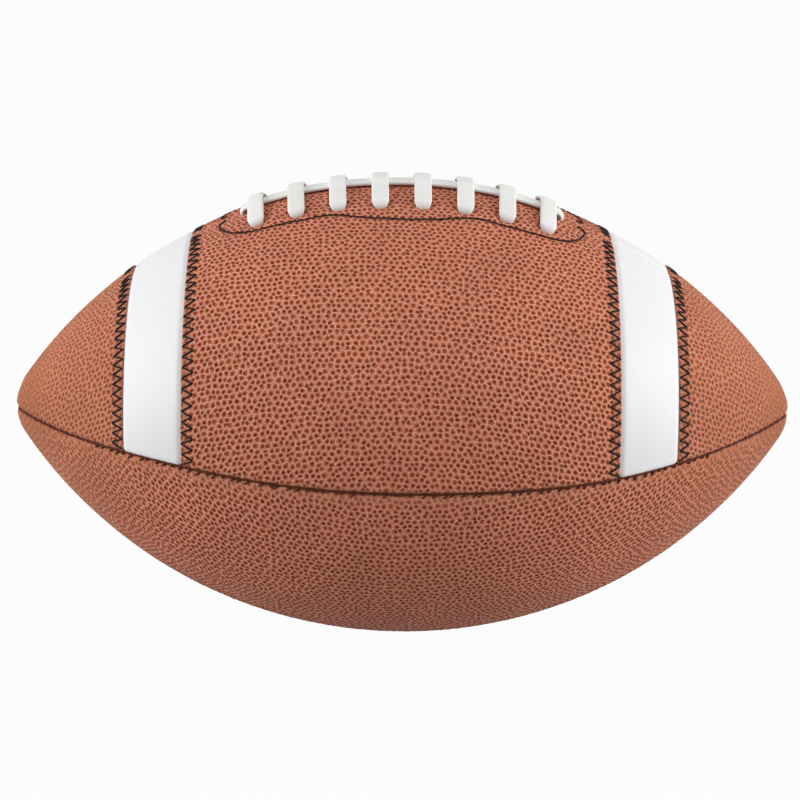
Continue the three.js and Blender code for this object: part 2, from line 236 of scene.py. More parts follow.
def smooth_path(points: Array, parts: int) -> tuple[Array, Array]:
    """Smooth curve through points, in any number of dimensions.

    Each stretch is a cubic whose end slopes come from the neighbouring points, with the knots
    set apart by the square root of the distance between points.

    Args:
        points: (n, d) points on the curve.
        parts: Parts into which each stretch is divided.

    Returns:
        The (m, d) points of the curve, and the place of each as a number of stretches.
    """
    ends = np.vstack([2 * points[:1] - points[1:2], points, 2 * points[-1:] - points[-2:-1]])
    before, start, stop, after = ends[:-3], ends[1:-2], ends[2:-1], ends[3:]
    knot = np.sqrt(np.linalg.norm(np.diff(ends, axis=0), axis=1, keepdims=True))
    k0, k1, k2 = knot[:-2], knot[1:-1], knot[2:]
    out = ((start - before) / k0 - (stop - before) / (k0 + k1) + (stop - start) / k1) * k1
    into = ((stop - start) / k1 - (after - start) / (k1 + k2) + (after - stop) / k2) * k1
    share = (np.arange(parts) / parts)[None, :, None]
    start, stop, out, into = (a[:, None, :] for a in (start, stop, out, into))
    square = -3 * start + 3 * stop - 2 * out - into
    cube = 2 * start - 2 * stop + out + into
    curve = start + share * (out + share * (square + share * cube))
    where = np.arange(len(points) - 1)[:, None] + share[0, :, 0]
    curve = np.vstack([curve.reshape(-1, points.shape[1]), points[-1:]])
    return curve, np.append(where, len(points) - 1)


# Meshes


@dataclass
class Draft:
    """A mesh being put together from blocks of points and faces."""

    points: list[Array] = field(default_factory=list)  # blocks of (n, 3) points, in millimetres
    surface: list[Array] = field(default_factory=list)  # their (n, 2) surface coordinates
    faces: list[Array] = field(default_factory=list)  # blocks of (m, k) point numbers
    corners: list[Array | None] = field(default_factory=list)  # faces' own surface coordinates
    count: int = 0  # points so far

    def add_points(self, points: Array, surface: Array | None = None) -> int:
        """Adds a block of points.

        Args:
            points: Points in any shape that ends in 3.
            surface: Their surface coordinates, in the same shape but ending in 2.

        Returns:
            Number of the first point of the block.
        """
        first = self.count
        block = points.reshape(-1, 3)
        self.points.append(block)
        self.surface.append(np.zeros((len(block), 2)) if surface is None else surface.reshape(-1, 2))
        self.count += len(block)
        return first

    def add_faces(self, faces: Array, corners: Array | None = None) -> None:
        """Adds a block of faces, with surface coordinates for their corners if they need their own."""
        self.faces.append(faces)
        self.corners.append(None if corners is None else corners.reshape(-1, 2))

    def piece(
        self, name: str, marks: dict[str, Array] | None = None, sharp: float = SHARP
    ) -> BlenderObject:
        """Makes the Blender object.

        Args:
            name: Name of the piece.
            marks: Named values, one for each point.
            sharp: Angle between faces, in degrees, from which an edge is shown sharp.

        Returns:
            A mesh object at the origin with a surface map, in metres.
        """
        mesh = bpy.data.meshes.new(name)
        points = np.concatenate(self.points) * MM
        surface = np.concatenate(self.surface)
        corner = np.concatenate([block.ravel() for block in self.faces])
        sizes = np.concatenate([np.full(len(block), block.shape[1]) for block in self.faces])
        pairs = zip(self.faces, self.corners)
        given = [surface[block.ravel()] if own is None else own for block, own in pairs]
        mesh.vertices.add(len(points))
        mesh.vertices.foreach_set("co", points.ravel())
        mesh.loops.add(len(corner))
        mesh.loops.foreach_set("vertex_index", corner)
        mesh.polygons.add(len(sizes))
        mesh.polygons.foreach_set("loop_start", np.cumsum(sizes) - sizes)
        mesh.update(calc_edges=True)
        mesh.uv_layers.new(name="surface").uv.foreach_set("vector", np.concatenate(given).ravel())
        for key, values in (marks or {}).items():
            mesh.attributes.new(key, "FLOAT", "POINT").data.foreach_set("value", values.ravel())
        shade_smooth(mesh, sharp)
        made = bpy.data.objects.new(name, mesh)
        bpy.context.scene.collection.objects.link(made)
        return made


def shade_smooth(mesh: bpy.types.Mesh, sharp: float) -> None:
    """Shows a mesh smooth, but for edges from an angle in degrees on."""
    mesh.polygons.foreach_set("use_smooth", np.ones(len(mesh.polygons), bool))
    mesh.set_sharp_from_angle(angle=math.radians(sharp))


def joined(drafts: Sequence[Draft]) -> Draft:
    """One mesh out of several that stay apart.

    Args:
        drafts: The meshes.

    Returns:
        A mesh with all their points, and their faces numbered on.
    """
    whole = Draft()
    for draft in drafts:
        first = whole.count
        for points, surface in zip(draft.points, draft.surface):
            whole.add_points(points, surface)
        for faces, corners in zip(draft.faces, draft.corners):
            whole.add_faces(faces + first, corners)
    return whole


def grid_faces(rows: int, cols: int, first: int = 0, wrap: bool = False) -> tuple[Array, Array, Array]:
    """Four-cornered faces over a grid of points that is numbered row by row.

    Args:
        rows: Rows of points.
        cols: Points in a row.
        first: Number of the first point.
        wrap: Whether each row closes on itself.

    Returns:
        The faces, going first along the row, and the row and column of each corner; in a
        closed row the column counts on past the last.
    """
    i, j = np.meshgrid(np.arange(rows - 1), np.arange(cols if wrap else cols - 1), indexing="ij")
    row = np.stack([i, i, i + 1, i + 1], -1).reshape(-1, 4)
    col = np.stack([j, j + 1, j + 1, j], -1).reshape(-1, 4)
    return first + row * cols + col % cols, row, col


def add_tube(draft: Draft, rings: Array, order: int) -> None:
    """Adds rings of points with faces between them and a cap at both ends.

    Args:
        draft: Mesh to add to.
        rings: (n, k, 3) points.
        order: 1 for faces that look out where the rings go clockwise round their way, or -1
            for the reverse.
    """
    count, cols = rings.shape[:2]
    first = draft.add_points(rings)
    ring = first + np.arange(cols)[None]
    draft.add_faces(grid_faces(count, cols, first, wrap=True)[0][:, ::order])
    draft.add_faces(ring[:, ::-order])
    draft.add_faces((ring + (count - 1) * cols)[:, ::order])


def closed_sheet(
    name: str,
    outer: Array,
    inner: Array,
    rows: Array,
    cols: Array,
    surface: Array,
    marks: dict[str, Array] | None = None,
) -> BlenderObject:
    """Closed sheet with a fine outer face and a coarse inner one.

    The inner face has points only below the picked rows and columns of the outer one, and the
    rim between them is made of many-cornered faces, one from each pick to the next.

    Args:
        name: Name of the piece.
        outer: (R, C, 3) points of the outer face, rows along the run, columns round the ball.
        inner: (len(rows), len(cols), 3) points of the inner face.
        rows: Picked rows.
        cols: Picked columns.
        surface: (R, C, 2) surface coordinates.
        marks: Named (R, C) values of the outer points.

    Returns:
        The piece.
    """
    some = np.ix_(rows, cols)
    draft = Draft()
    draft.add_points(outer, surface)
    under = draft.add_points(inner, surface[some])
    top = np.arange(outer.shape[0] * outer.shape[1]).reshape(outer.shape[:2])
    low = under + np.arange(len(rows) * len(cols)).reshape(len(rows), len(cols))
    draft.add_faces(grid_faces(*top.shape)[0])
    draft.add_faces(grid_faces(*low.shape, under)[0][:, ::-1])
    rims = (
        (cols, top[0], low[0], -1),
        (cols, top[-1], low[-1], 1),
        (rows, top[:, 0], low[:, 0], 1),
        (rows, top[:, -1], low[:, -1], -1),
    )
    for picked, above, below, order in rims:
        for n, (a, b) in enumerate(zip(picked[:-1], picked[1:])):
            draft.add_faces(np.r_[above[a : b + 1][::order], below[n : n + 2][::-order]][None])
    both = {key: np.append(values, values[some]) for key, values in (marks or {}).items()}
    return draft.piece(name, both)


def add_sweep(draft: Draft, path: Array, wide: Array, thick: Array, section: Array, around: float) -> None:
    """Adds a section carried along a path, with both ends closed.

    A point is the path plus the section's first number times wide and its second times thick,
    where thick is the cross product of wide and the direction of the path.

    Args:
        draft: Mesh to add to.
        path: (n, 3) points.
        wide: (n, 3) vectors of half the width.
        thick: (n, 3) vectors of half the thickness.
        section: (k, 2) outline, counter-clockwise, in half widths and half thicknesses, or one
            for each point of the path, (n, k, 2).
        around: Length round the section, for the surface map.
    """
    n, k = len(path), section.shape[-2]
    rings = path[:, None] + section[..., :1] * wide[:, None] + section[..., 1:] * thick[:, None]
    first = draft.add_points(rings)
    faces, row, col = grid_faces(n, k, first, wrap=True)
    along = np.append(0.0, np.cumsum(np.linalg.norm(np.diff(path, axis=0), axis=1)))
    corners = np.stack([along[row], col * around / k], -1)
    draft.add_faces(faces[:, ::-1], corners[:, ::-1])
    draft.add_faces(first + np.arange(k)[None])
    draft.add_faces(first + (n - 1) * k + np.arange(k)[None, ::-1])


def cut_away(piece: BlenderObject, tool: BlenderObject) -> None:
    """Takes a closed tool away from a closed piece for good, and removes the tool.

    Args:
        piece: Piece to cut; its faces of many corners are split evenly afterwards.
        tool: What is taken away.
    """
    cut = piece.modifiers.new("holes", "BOOLEAN")
    cut.operation = "DIFFERENCE"
    cut.solver = "MANIFOLD"
    cut.object = tool
    split = piece.modifiers.new("corners", "TRIANGULATE")
    split.min_vertices = 5
    split.ngon_method = "BEAUTY"
    shown = piece.evaluated_get(bpy.context.evaluated_depsgraph_get())
    made = bpy.data.meshes.new_from_object(shown)
    piece.modifiers.clear()
    whole = piece.data
    name = whole.name
    piece.data = made
    bpy.data.meshes.remove(whole)
    made.name = name
    bpy.data.objects.remove(tool)
    shade_smooth(made, SHARP)


def register(piece: BlenderObject, material: Material, slot: Slot, *nodes: str) -> None:
    """Dresses a finished piece and enters it in the frame.

    Args:
        piece: The piece.
        material: Its finish.
        slot: Not used.
        nodes: Solids that the piece stands for.
    """
    piece.data.materials.clear()
    piece.data.materials.append(material)
    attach(piece, BODY)
    if nodes:
        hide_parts(*nodes)
    LOG.info("%s: %d faces", piece.name, len(piece.data.polygons))


# The ball's surface


@dataclass(frozen=True)
class BallShape:
    """Outline of a long belly arc and a small arc for each tip, swept round the X axis."""

    length: float = 288.0  # from tip to tip
    diameter: float = 167.6  # across the middle
    tip_radius: float = 19.0  # of the small arcs
    lace_bulge: float = 2.3  # how far the laced opening stands above the round
    bulge_width: float = 30.0  # reach of that bulge round the ball
    middle: float = -1.5  # run of the middle of the lacing and stripes
    lace_skew: float = 0.047  # how far the top seam leaves the straight in each unit of run
    skew_fades: Pair = (60.0, 115.0)  # runs between which that skew is lost
    front_stray: tuple[tuple[float, float, float], ...] = (
        # run, reach and shift of each bend of the front seam
        (-95.0, 50.0, -2.0),
        (70.0, 35.0, 1.0),
    )
    stripe_from_tip: float = 71.3  # to a stripe's outer edge, along the leather
    stripe_width: float = 25.4
    peg_top: float = 4.0  # how far a tool for a hole stands above the leather
    peg_sides: int = 32

    @property
    def radius(self) -> float:
        """Half the diameter."""
        return self.diameter / 2

    @property
    def tip_x(self) -> float:
        """Middle of a tip's small arc."""
        return self.length / 2 - self.tip_radius

    @property
    def belly(self) -> float:
        """Radius of the long arc that runs into both small ones."""
        rise = self.radius - self.tip_radius
        return (self.tip_x**2 + self.radius**2 - self.tip_radius**2) / (2 * rise)

    @property
    def turn(self) -> float:
        """Slope at which the belly runs into a tip."""
        return math.asin(self.tip_x / (self.belly - self.tip_radius))

    @property
    def half_run(self) -> float:
        """From the middle to a tip along the leather."""
        return self.belly * self.turn + self.tip_radius * (QUARTER - self.turn)

    @property
    def stripe_out(self) -> float:
        """Distance of a stripe's outer edge from the middle of the pattern."""
        return self.half_run - self.stripe_from_tip

    @property
    def stripe_in(self) -> float:
        """Distance of a stripe's inner edge from the middle of the pattern."""
        return self.stripe_out - self.stripe_width

    def run_at_tip(self, radius: float) -> float:
        """Run at which the leather of a tip is this far from the long axis."""
        return self.half_run - self.tip_radius * math.asin(radius / self.tip_radius)

    def slope(self, run: Array) -> Array:
        """Slope of the outline.

        Args:
            run: Along the leather.

        Returns:
            The run divided by the radius of the arc that it is on, in radians.
        """
        far = np.abs(run)
        belly_run = self.belly * self.turn
        tip = self.turn + (far - belly_run) / self.tip_radius
        turned = np.where(far <= belly_run, far / self.belly, tip)
        return np.sign(run) * np.minimum(turned, QUARTER)

    def girth(self, run: Array) -> Array:
        """Distance of the leather from the long axis.

        Args:
            run: Along the leather.

        Returns:
            The arc's radius times the cosine of the slope, and on the belly less the distance of
            the arc's middle past the axis.
        """
        slope = self.slope(run)
        belly = self.belly * np.cos(slope) - (self.belly - self.radius)
        return np.where(np.abs(slope) <= self.turn, belly, self.tip_radius * np.cos(slope))

    def bulge(self, run: Array, arc: Array) -> Array:
        """Height of the laced opening.

        Args:
            run: Along the leather.
            arc: Distance from the lacing.

        Returns:
            A fourth-power hump along times a square one around.
        """
        along = np.maximum(0.0, 1 - ((run - self.middle) / self.stripe_in) ** 4)
        around = np.maximum(0.0, 1 - (arc / self.bulge_width) ** 2)
        return self.lace_bulge * along**2 * around**2

    def skewed(self, run: Array, turned: Array) -> Array:
        """Angle by which the leather is out of line.

        Args:
            run: Along the leather.
            turned: Angle from the lacing, at most half a turn either way.

        Returns:
            A shift that grows along the lacing from its middle, fades beyond it, and goes with
            the squared cosine from the lacing to the front and back seams, and bells along the
            front seam that go with the squared sine from there to the top and bottom seams.
        """
        lacing = self.lace_skew * (run - self.middle) * (1 - smoothstep(*self.skew_fades, np.abs(run)))
        front = sum(shift * bell(run - place, reach) for place, reach, shift in self.front_stray)
        shift = lacing * np.cos(np.clip(turned, -QUARTER, QUARTER)) ** 2
        shift = shift + front * np.sin(np.maximum(turned, 0.0)) ** 2
        return shift / self.girth(run)

    def place(self, run: Array, angle: Array, depth: Array) -> Array:
        """Points of the ball.

        Args:
            run: Along the leather.
            angle: Round the long axis.
            depth: Below the leather.

        Returns:
            Points on the arc of the run, with the depth taken from the arc's radius and the
            bulge added, turned round the axis by the angle and the skew; last axis 3.
        """
        run, angle, depth = np.broadcast_arrays(*(np.asarray(a, float) for a in (run, angle, depth)))
        slope = self.slope(run)
        turned = from_lacing(angle)
        below = depth - self.bulge(run, turned * self.girth(run))
        belly = np.abs(slope) <= self.turn
        reach = np.where(belly, self.belly, self.tip_radius) - below
        x = reach * np.sin(slope) + np.where(belly, 0.0, np.sign(slope) * self.tip_x)
        r = reach * np.cos(slope) - np.where(belly, self.belly - self.radius, 0.0)
        angle = angle + self.skewed(run, turned)
        return np.stack([x, -r * np.sin(angle), self.radius + r * np.cos(angle)], -1)

    def near_lacing(self, run: Array, arc: Array, depth: Array) -> Array:
        """Points of the ball with the distance from the lacing given along the leather."""
        return self.place(run, np.asarray(arc) / self.girth(run), depth)

    def outward(self, run: Array, angle: Array) -> Array:
        """Unit vectors out of the leather."""
        return unit(self.place(run, angle, -1.0) - self.place(run, angle, 0.0))

    def peg(self, run: float, angle: float, radius: float, bottom: float) -> Draft:
        """Round tool that stands in the wall of the ball.

        Args:
            run: Its place along the leather.
            angle: Its place round the ball.
            radius: Its radius.
            bottom: How deep it goes.

        Returns:
            A mesh: a circle carried along the outward direction.
        """
        out = self.outward(run, angle)
        leaning = [0.0, 1.0, 0.3]
        along = unit(np.cross(out, leaning))
        steps = np.linspace(-bottom, self.peg_top, 3)[:, None]
        path = self.place(run, angle, 0.0) + steps * out
        wide = np.repeat(along[None] * radius, 3, 0)
        draft = Draft()
        add_sweep(draft, path, wide, np.cross(wide, out), circle(self.peg_sides), 1.0)
        return draft


@dataclass(frozen=True)
class Grain:
    """Pebbles pressed into leather, in staggered rows, each a little out of its place."""

    pitch: float = 2.28  # between pebbles in a row
    stray: float = 0.58  # share of the pitch over which the middle of a pebble may lie
    relief: float = 0.34  # height of a pebble over the lines between pebbles
    reach: float = 1.0  # distance from the lines at which a pebble has its full height

    @property
    def rise(self) -> float:
        """Distance between rows."""
        return self.pitch * math.sqrt(0.75)

    def heights(self, surface: Array) -> Array:
        """Heights of the pebbles.

        The two rows next to a place have two pebbles each next to it. Half the difference of the
        distances to the nearest two of the four is the distance from the line between them.

        Args:
            surface: Places on the leather, last axis 2.

        Returns:
            That distance divided by the reach, 0 on the lines and at most 1 on the pebbles.
        """
        along, across = surface[..., 0] / self.pitch, surface[..., 1] / self.rise
        away = []
        for row_step in (0, 1):
            row = np.floor(across - 0.5) + row_step
            stagger = 0.5 * np.mod(row, 2)
            for col_step in (0, 1):
                col = np.floor(along - stagger - 0.5) + col_step
                x = col + stagger + 0.5 + self.stray * (jumbled(col, row) - 0.5)
                y = row + 0.5 + self.stray * (jumbled(col, row, np.ones_like(row)) - 0.5)
                away.append(np.hypot((x - along) * self.pitch, (y - across) * self.rise))
        nearest = np.sort(away, axis=0)
        return np.clip((nearest[1] - nearest[0]) / 2 / self.reach, 0.0, 1.0)


# Finishes


def srgb(red: int, green: int, blue: int) -> Colour:
    """Colour for a shader from what a screen shows.

    Args:
        red: Red, from 0 to 255.
        green: Green.
        blue: Blue.

    Returns:
        Each by the usual curve: a straight line near black, and then a power of 2.4.
    """
    shown = np.array([red, green, blue]) / 255
    linear = np.where(shown <= 0.04045, shown / 12.92, ((shown + 0.055) / 1.055) ** 2.4)
    return (*(float(v) for v in linear), 1.0)


class Graph:
    """Short way to put nodes in a tree and link them."""

    def __init__(self, tree: NodeTree) -> None:
        """Starts on an empty tree."""
        self.tree = tree
        tree.nodes.clear()

    def feed(self, node: Node, inputs: Inputs) -> None:
        """Sets inputs of a node.

        Args:
            node: The node.
            inputs: Sockets, by name or number, with a value or the socket that feeds them.
        """
        for key, value in inputs.items():
            if isinstance(value, Socket):
                self.tree.links.new(value, node.inputs[key])
            else:
                node.inputs[key].default_value = value

    def node(self, kind: str, inputs: Inputs | None = None, **settings: object) -> Node:
        """Adds a node.

        Args:
            kind: Blender's name of the node, without the word that all shader nodes start with.
            inputs: What its sockets are fed.
            settings: Other properties of the node.

        Returns:
            The node.
        """
        made = self.tree.nodes.new(kind if kind.startswith("Node") else "ShaderNode" + kind)
        for key, value in settings.items():
            setattr(made, key, value)
        self.feed(made, inputs or {})
        return made

    def maths(self, operation: str, *values: object) -> Socket:
        """Result of a Math node on values or sockets."""
        return self.node("Math", dict(enumerate(values)), operation=operation).outputs[0]

    def vector(self, operation: str, *values: object) -> Socket:
        """Result of a Vector Math node on vectors or sockets."""
        return self.node("VectorMath", dict(enumerate(values)), operation=operation).outputs[0]

    def mix(self, factor: object, first: object, second: object, blend: str = "MIX") -> Socket:
        """Colour mixed from two."""
        inputs = {0: factor, 6: first, 7: second}
        return self.node("Mix", inputs, data_type="RGBA", blend_type=blend).outputs[2]

    def dimmed(self, colour: Socket, light: Socket) -> Socket:
        """Colour times a light from 0 to 1."""
        grey = self.node("CombineColor", {0: light, 1: light, 2: light}).outputs[0]
        return self.mix(1.0, colour, grey, "MULTIPLY")

    def range(self, value: Socket, *limits: float, soft: bool = False) -> Socket:
        """Value carried from one range to another.

        Args:
            value: The value.
            limits: Both ends of the first range, and both of the second.
            soft: Whether by a soft step, or in a straight line.

        Returns:
            The new value, kept within the second range.
        """
        kind = "SMOOTHSTEP" if soft else "LINEAR"
        inputs = dict(zip(range(1, 5), limits)) | {0: value}
        return self.node("MapRange", inputs, interpolation_type=kind).outputs[0]

    def arches(self, value: Socket) -> Socket:
        """Arches one unit wide: the size of the sine of pi times the value."""
        return self.maths("ABSOLUTE", self.maths("SINE", self.maths("MULTIPLY", value, math.pi)))

    def wrinkles(self, group: NodeTree, scale: float) -> Node:
        """Node of the group of fine wrinkles, laid over the object at a scale."""
        place = self.node("TexCoord").outputs["Object"]
        return self.node("Group", {"Vector": place, "Scale": scale}, node_tree=group)

    def bump(self, height: Socket, strength: float, distance: float) -> Socket:
        """Normals bent by a height, with the distance in metres."""
        inputs = {"Height": height, "Strength": strength, "Distance": distance}
        return self.node("Bump", inputs).outputs[0]


def new_group(name: str, inputs: dict[str, str], outputs: Sequence[str]) -> tuple[Graph, Node, Node]:
    """Empty shader node group.

    Args:
        name: Name of the group.
        inputs: Names and kinds of its inputs.
        outputs: Names of its outputs, each a number.

    Returns:
        Its graph, its input node and its output node.
    """
    tree = bpy.data.node_groups.new(name, "ShaderNodeTree")
    for way, sockets in (("INPUT", inputs), ("OUTPUT", dict.fromkeys(outputs, "Float"))):
        for key, kind in sockets.items():
            tree.interface.new_socket(key, in_out=way, socket_type="NodeSocket" + kind)
    graph = Graph(tree)
    return graph, graph.node("NodeGroupInput"), graph.node("NodeGroupOutput")


def fine_grain_group() -> NodeTree:
    """Fine wrinkles and a slow change of shade, shared by leather, lace and rubber.

    Returns:
        Group with inputs Vector and Scale, and outputs Height, from two sizes of noise, and
        Shade, from a noise thirty times as wide.
    """
    slower, cell_share = 30.0, 0.6
    inputs = {"Vector": "Vector", "Scale": "Float"}
    graph, given, out = new_group("fine_grain", inputs, ("Height", "Shade"))
    place, scale = given.outputs["Vector"], given.outputs["Scale"]
    wide = graph.node("TexNoise", {"Vector": place, "Scale": scale, "Detail": 4.0, "Roughness": 0.6})
    close = graph.node("TexVoronoi", {"Vector": place, "Scale": scale, "Randomness": 0.9})
    slow_scale = graph.maths("DIVIDE", scale, slower)
    slow = graph.node("TexNoise", {"Vector": place, "Scale": slow_scale, "Detail": 3.0})
    height = graph.maths("MULTIPLY_ADD", close.outputs["Distance"], cell_share, wide.outputs[0])
    graph.feed(out, {"Height": height, "Shade": slow.outputs[0]})
    return graph.tree


def pebble_group(grain: Grain) -> NodeTree:
    """Pebbles of the grain, shared by the leathers.

    Args:
        grain: The same grain that shapes the leather.

    Returns:
        Group with the input Vector, in millimetres on the leather, and outputs Middle, the
        distance from the middle of the nearest pebble, Line, the distance from the line
        between the nearest two, and Tint, a random number of the nearest one.
    """
    graph, given, out = new_group("pebbles", {"Vector": "Vector"}, ("Middle", "Line", "Tint"))
    size = (grain.pitch, grain.rise, 1.0)
    stray = tuple(grain.stray * side for side in (*size[:2], 0.0))
    cells = graph.vector("DIVIDE", given.outputs["Vector"], size)
    spot = graph.vector("SUBTRACT", cells, (0.5, 0.5, 0.0))
    along, across = (graph.node("SeparateXYZ", {0: spot}).outputs[k] for k in (0, 1))
    nearest, second, tint = FAR, FAR, 0.5
    for row_step in (0.0, 1.0):
        row = graph.maths("ADD", graph.maths("FLOOR", across), row_step)
        stagger = graph.maths("MULTIPLY", graph.maths("FLOORED_MODULO", row, 2.0), 0.5)
        col = graph.maths("FLOOR", graph.maths("SUBTRACT", along, stagger))
        cell = graph.node("CombineXYZ", {0: col, 1: row}).outputs[0]
        shifted = graph.node("CombineXYZ", {0: graph.maths("ADD", col, stagger), 1: row}).outputs[0]
        way = graph.vector("MULTIPLY", graph.vector("SUBTRACT", shifted, spot), size)
        for col_step in (0.0, 1.0):
            number = graph.vector("ADD", cell, (col_step, 0.0, 0.0))
            drawn = graph.node("TexWhiteNoise", {"Vector": number}, noise_dimensions="2D").outputs["Color"]
            corner = (col_step * grain.pitch - stray[0] / 2, -stray[1] / 2, 0.0)
            middle = graph.vector("MULTIPLY_ADD", drawn, stray, graph.vector("ADD", way, corner))
            away = graph.node("VectorMath", {0: middle}, operation="LENGTH").outputs["Value"]
            closer = graph.maths("LESS_THAN", away, nearest)
            own = graph.node("SeparateColor", {0: drawn}).outputs[2]
            tint = graph.maths("MULTIPLY_ADD", closer, graph.maths("SUBTRACT", own, tint), tint)
            second = graph.maths("MINIMUM", second, graph.maths("MAXIMUM", nearest, away))
            nearest = graph.maths("MINIMUM", nearest, away)
    line = graph.maths("MULTIPLY", graph.maths("SUBTRACT", second, nearest), 0.5)
    graph.feed(out, {"Middle": nearest, "Line": line, "Tint": tint})
    return graph.tree


def weave_group() -> NodeTree:
    """Plain weave, shared by the cloths inside the ball.

    Returns:
        Group with inputs Vector, in millimetres on the cloth, and Pitch, and outputs Height and
        Warp: over each square of a checker one set of threads is on top, each thread as high as
        the sine across it.
    """
    inputs = {"Vector": "Vector", "Pitch": "Float"}
    graph, given, out = new_group("plain_weave", inputs, ("Height", "Warp"))
    scaled = graph.vector("DIVIDE", given.outputs["Vector"], given.outputs["Pitch"])
    parts = graph.node("SeparateXYZ", {0: scaled})
    warp, weft = (graph.arches(parts.outputs[k]) for k in (0, 1))
    over = graph.node("TexChecker", {"Vector": scaled, "Scale": 1.0}).outputs["Fac"]
    under = graph.maths("SUBTRACT", 1.0, over)
    height = graph.maths("MULTIPLY_ADD", over, warp, graph.maths("MULTIPLY", under, weft))
    graph.feed(out, {"Height": height, "Warp": over})
    return graph.tree


class Paint(Graph):
    """Graph of a material."""

    def __init__(self, name: str) -> None:
        """Starts a material.

        Args:
            name: Name of the finish.
        """
        self.material = bpy.data.materials.new(name)
        self.material.use_nodes = True
        super().__init__(self.material.node_tree)

    def finish(self, colour: Socket, roughness: object, normal: Socket, gloss: float = 0.5) -> Material:
        """Ends the material with a Principled shader.

        Args:
            colour: Its colour.
            roughness: Its roughness, as a value or a socket.
            normal: Its normals.
            gloss: Its specular level.

        Returns:
            The material.
        """
        inputs = {"Base Color": colour, "Roughness": roughness, "Normal": normal}
        shader = self.node("BsdfPrincipled", inputs | {"Specular IOR Level": gloss})
        self.node("OutputMaterial", {"Surface": shader.outputs[0]})
        return self.material


@dataclass(frozen=True)
class Leather:
    """Pebbled leather: dark pebbles between light lines, with fine wrinkles. The pale lines carry painted
    highlights and glints; the dark pebbles are partly the leather's two-tone colour and partly painted
    shade.
    """

    name: str
    line: Colour  # of the lines between pebbles: a paler tone with a painted highlight
    flank: Colour  # of the flanks of the pebbles
    pebble: Colour  # of the pebbles' tops: partly the leather's darker tone, partly painted shade
    edge: Colour  # where the leather is stretched over an edge, and painted light along the upper lip of a lower panel
    tip: Colour  # where it is drawn tight over the tip of the ball
    roughness: float  # of the pebbles
    gloss: float  # specular level
    patches: float  # how far the shade changes from place to place
    relief: float  # depth of the fine relief, in metres
    wrinkles: float = 1500.0  # scale of the fine wrinkles
    flank_end: float = 0.46  # distance from a line at which it has turned into the flank
    top_ends: Pair = (0.3, 0.9)  # distances from a pebble's middle over which its dark top, partly painted shade, fades
    palest: float = 0.72  # strength of the colour on the palest pebble
    creases: Pair = (0.55, 0.95)  # heights of wrinkles over which a painted glint brightens a line
    dullest: float = 0.25  # share of the line's painted highlight in the lowest wrinkles
    worn: float = 0.6  # share of the edge's colour on an edge
    patch_ends: Pair = (0.3, 0.7)  # shades over which patches brighten
    smoother: float = 0.12  # how much less rough the lines are
    wrinkle_share: float = 0.35  # of the wrinkles in the relief

    def material(self, pebbles: NodeTree, grain: NodeTree) -> Material:
        """Builds the finish.

        Args:
            pebbles: Group of the pebbles.
            grain: Group of fine wrinkles.

        Returns:
            Colour mixed by the height of the pebbles, each pebble with its own shade, with painted shade on
            the pebbles and painted glints on the lines.
        """
        graph = Paint(self.name)
        press, edge, tip = (
            graph.node("Attribute", attribute_name=mark).outputs["Fac"] for mark in ("press", "edge", "tip")
        )
        surface = graph.node("UVMap", uv_map="surface").outputs[0]
        cells = graph.node("Group", {"Vector": surface}, node_tree=pebbles).outputs
        fine = graph.wrinkles(grain, self.wrinkles).outputs
        height = graph.maths("MULTIPLY", cells["Line"], press)
        flank = graph.range(height, 0.0, self.flank_end, 0.0, 1.0, soft=True)
        middle = graph.range(cells["Middle"], *self.top_ends, 1.0, 0.0, soft=True)
        tint = graph.range(cells["Tint"], 0.0, 1.0, self.palest, 1.0)
        # painted shade in part: the pebbles' dark tops
        top_and_shade = graph.maths("MULTIPLY", graph.maths("MULTIPLY", middle, press), tint)
        # painted glints: the lines brighten on the higher wrinkles
        painted_glint = graph.range(fine["Height"], *self.creases, self.dullest, 1.0)
        line = graph.mix(painted_glint, self.flank, self.line)
        colour = graph.mix(top_and_shade, graph.mix(flank, line, self.flank), self.pebble)
        # the edge's colour: wear at seams and laps, and painted light along the upper lip of a lower panel
        worn = graph.mix(graph.maths("MULTIPLY", edge, self.worn), colour, self.edge)
        patchy = graph.range(fine["Shade"], *self.patch_ends, 1.0 - self.patches, 1.0)
        wrinkled = graph.maths("MULTIPLY_ADD", fine["Height"], self.wrinkle_share, height)
        shown = graph.dimmed(graph.mix(tip, worn, self.tip), patchy)
        rough = graph.range(flank, 0.0, 1.0, self.roughness - self.smoother, self.roughness)
        return graph.finish(shown, rough, graph.bump(wrinkled, 1.0, self.relief), self.gloss)


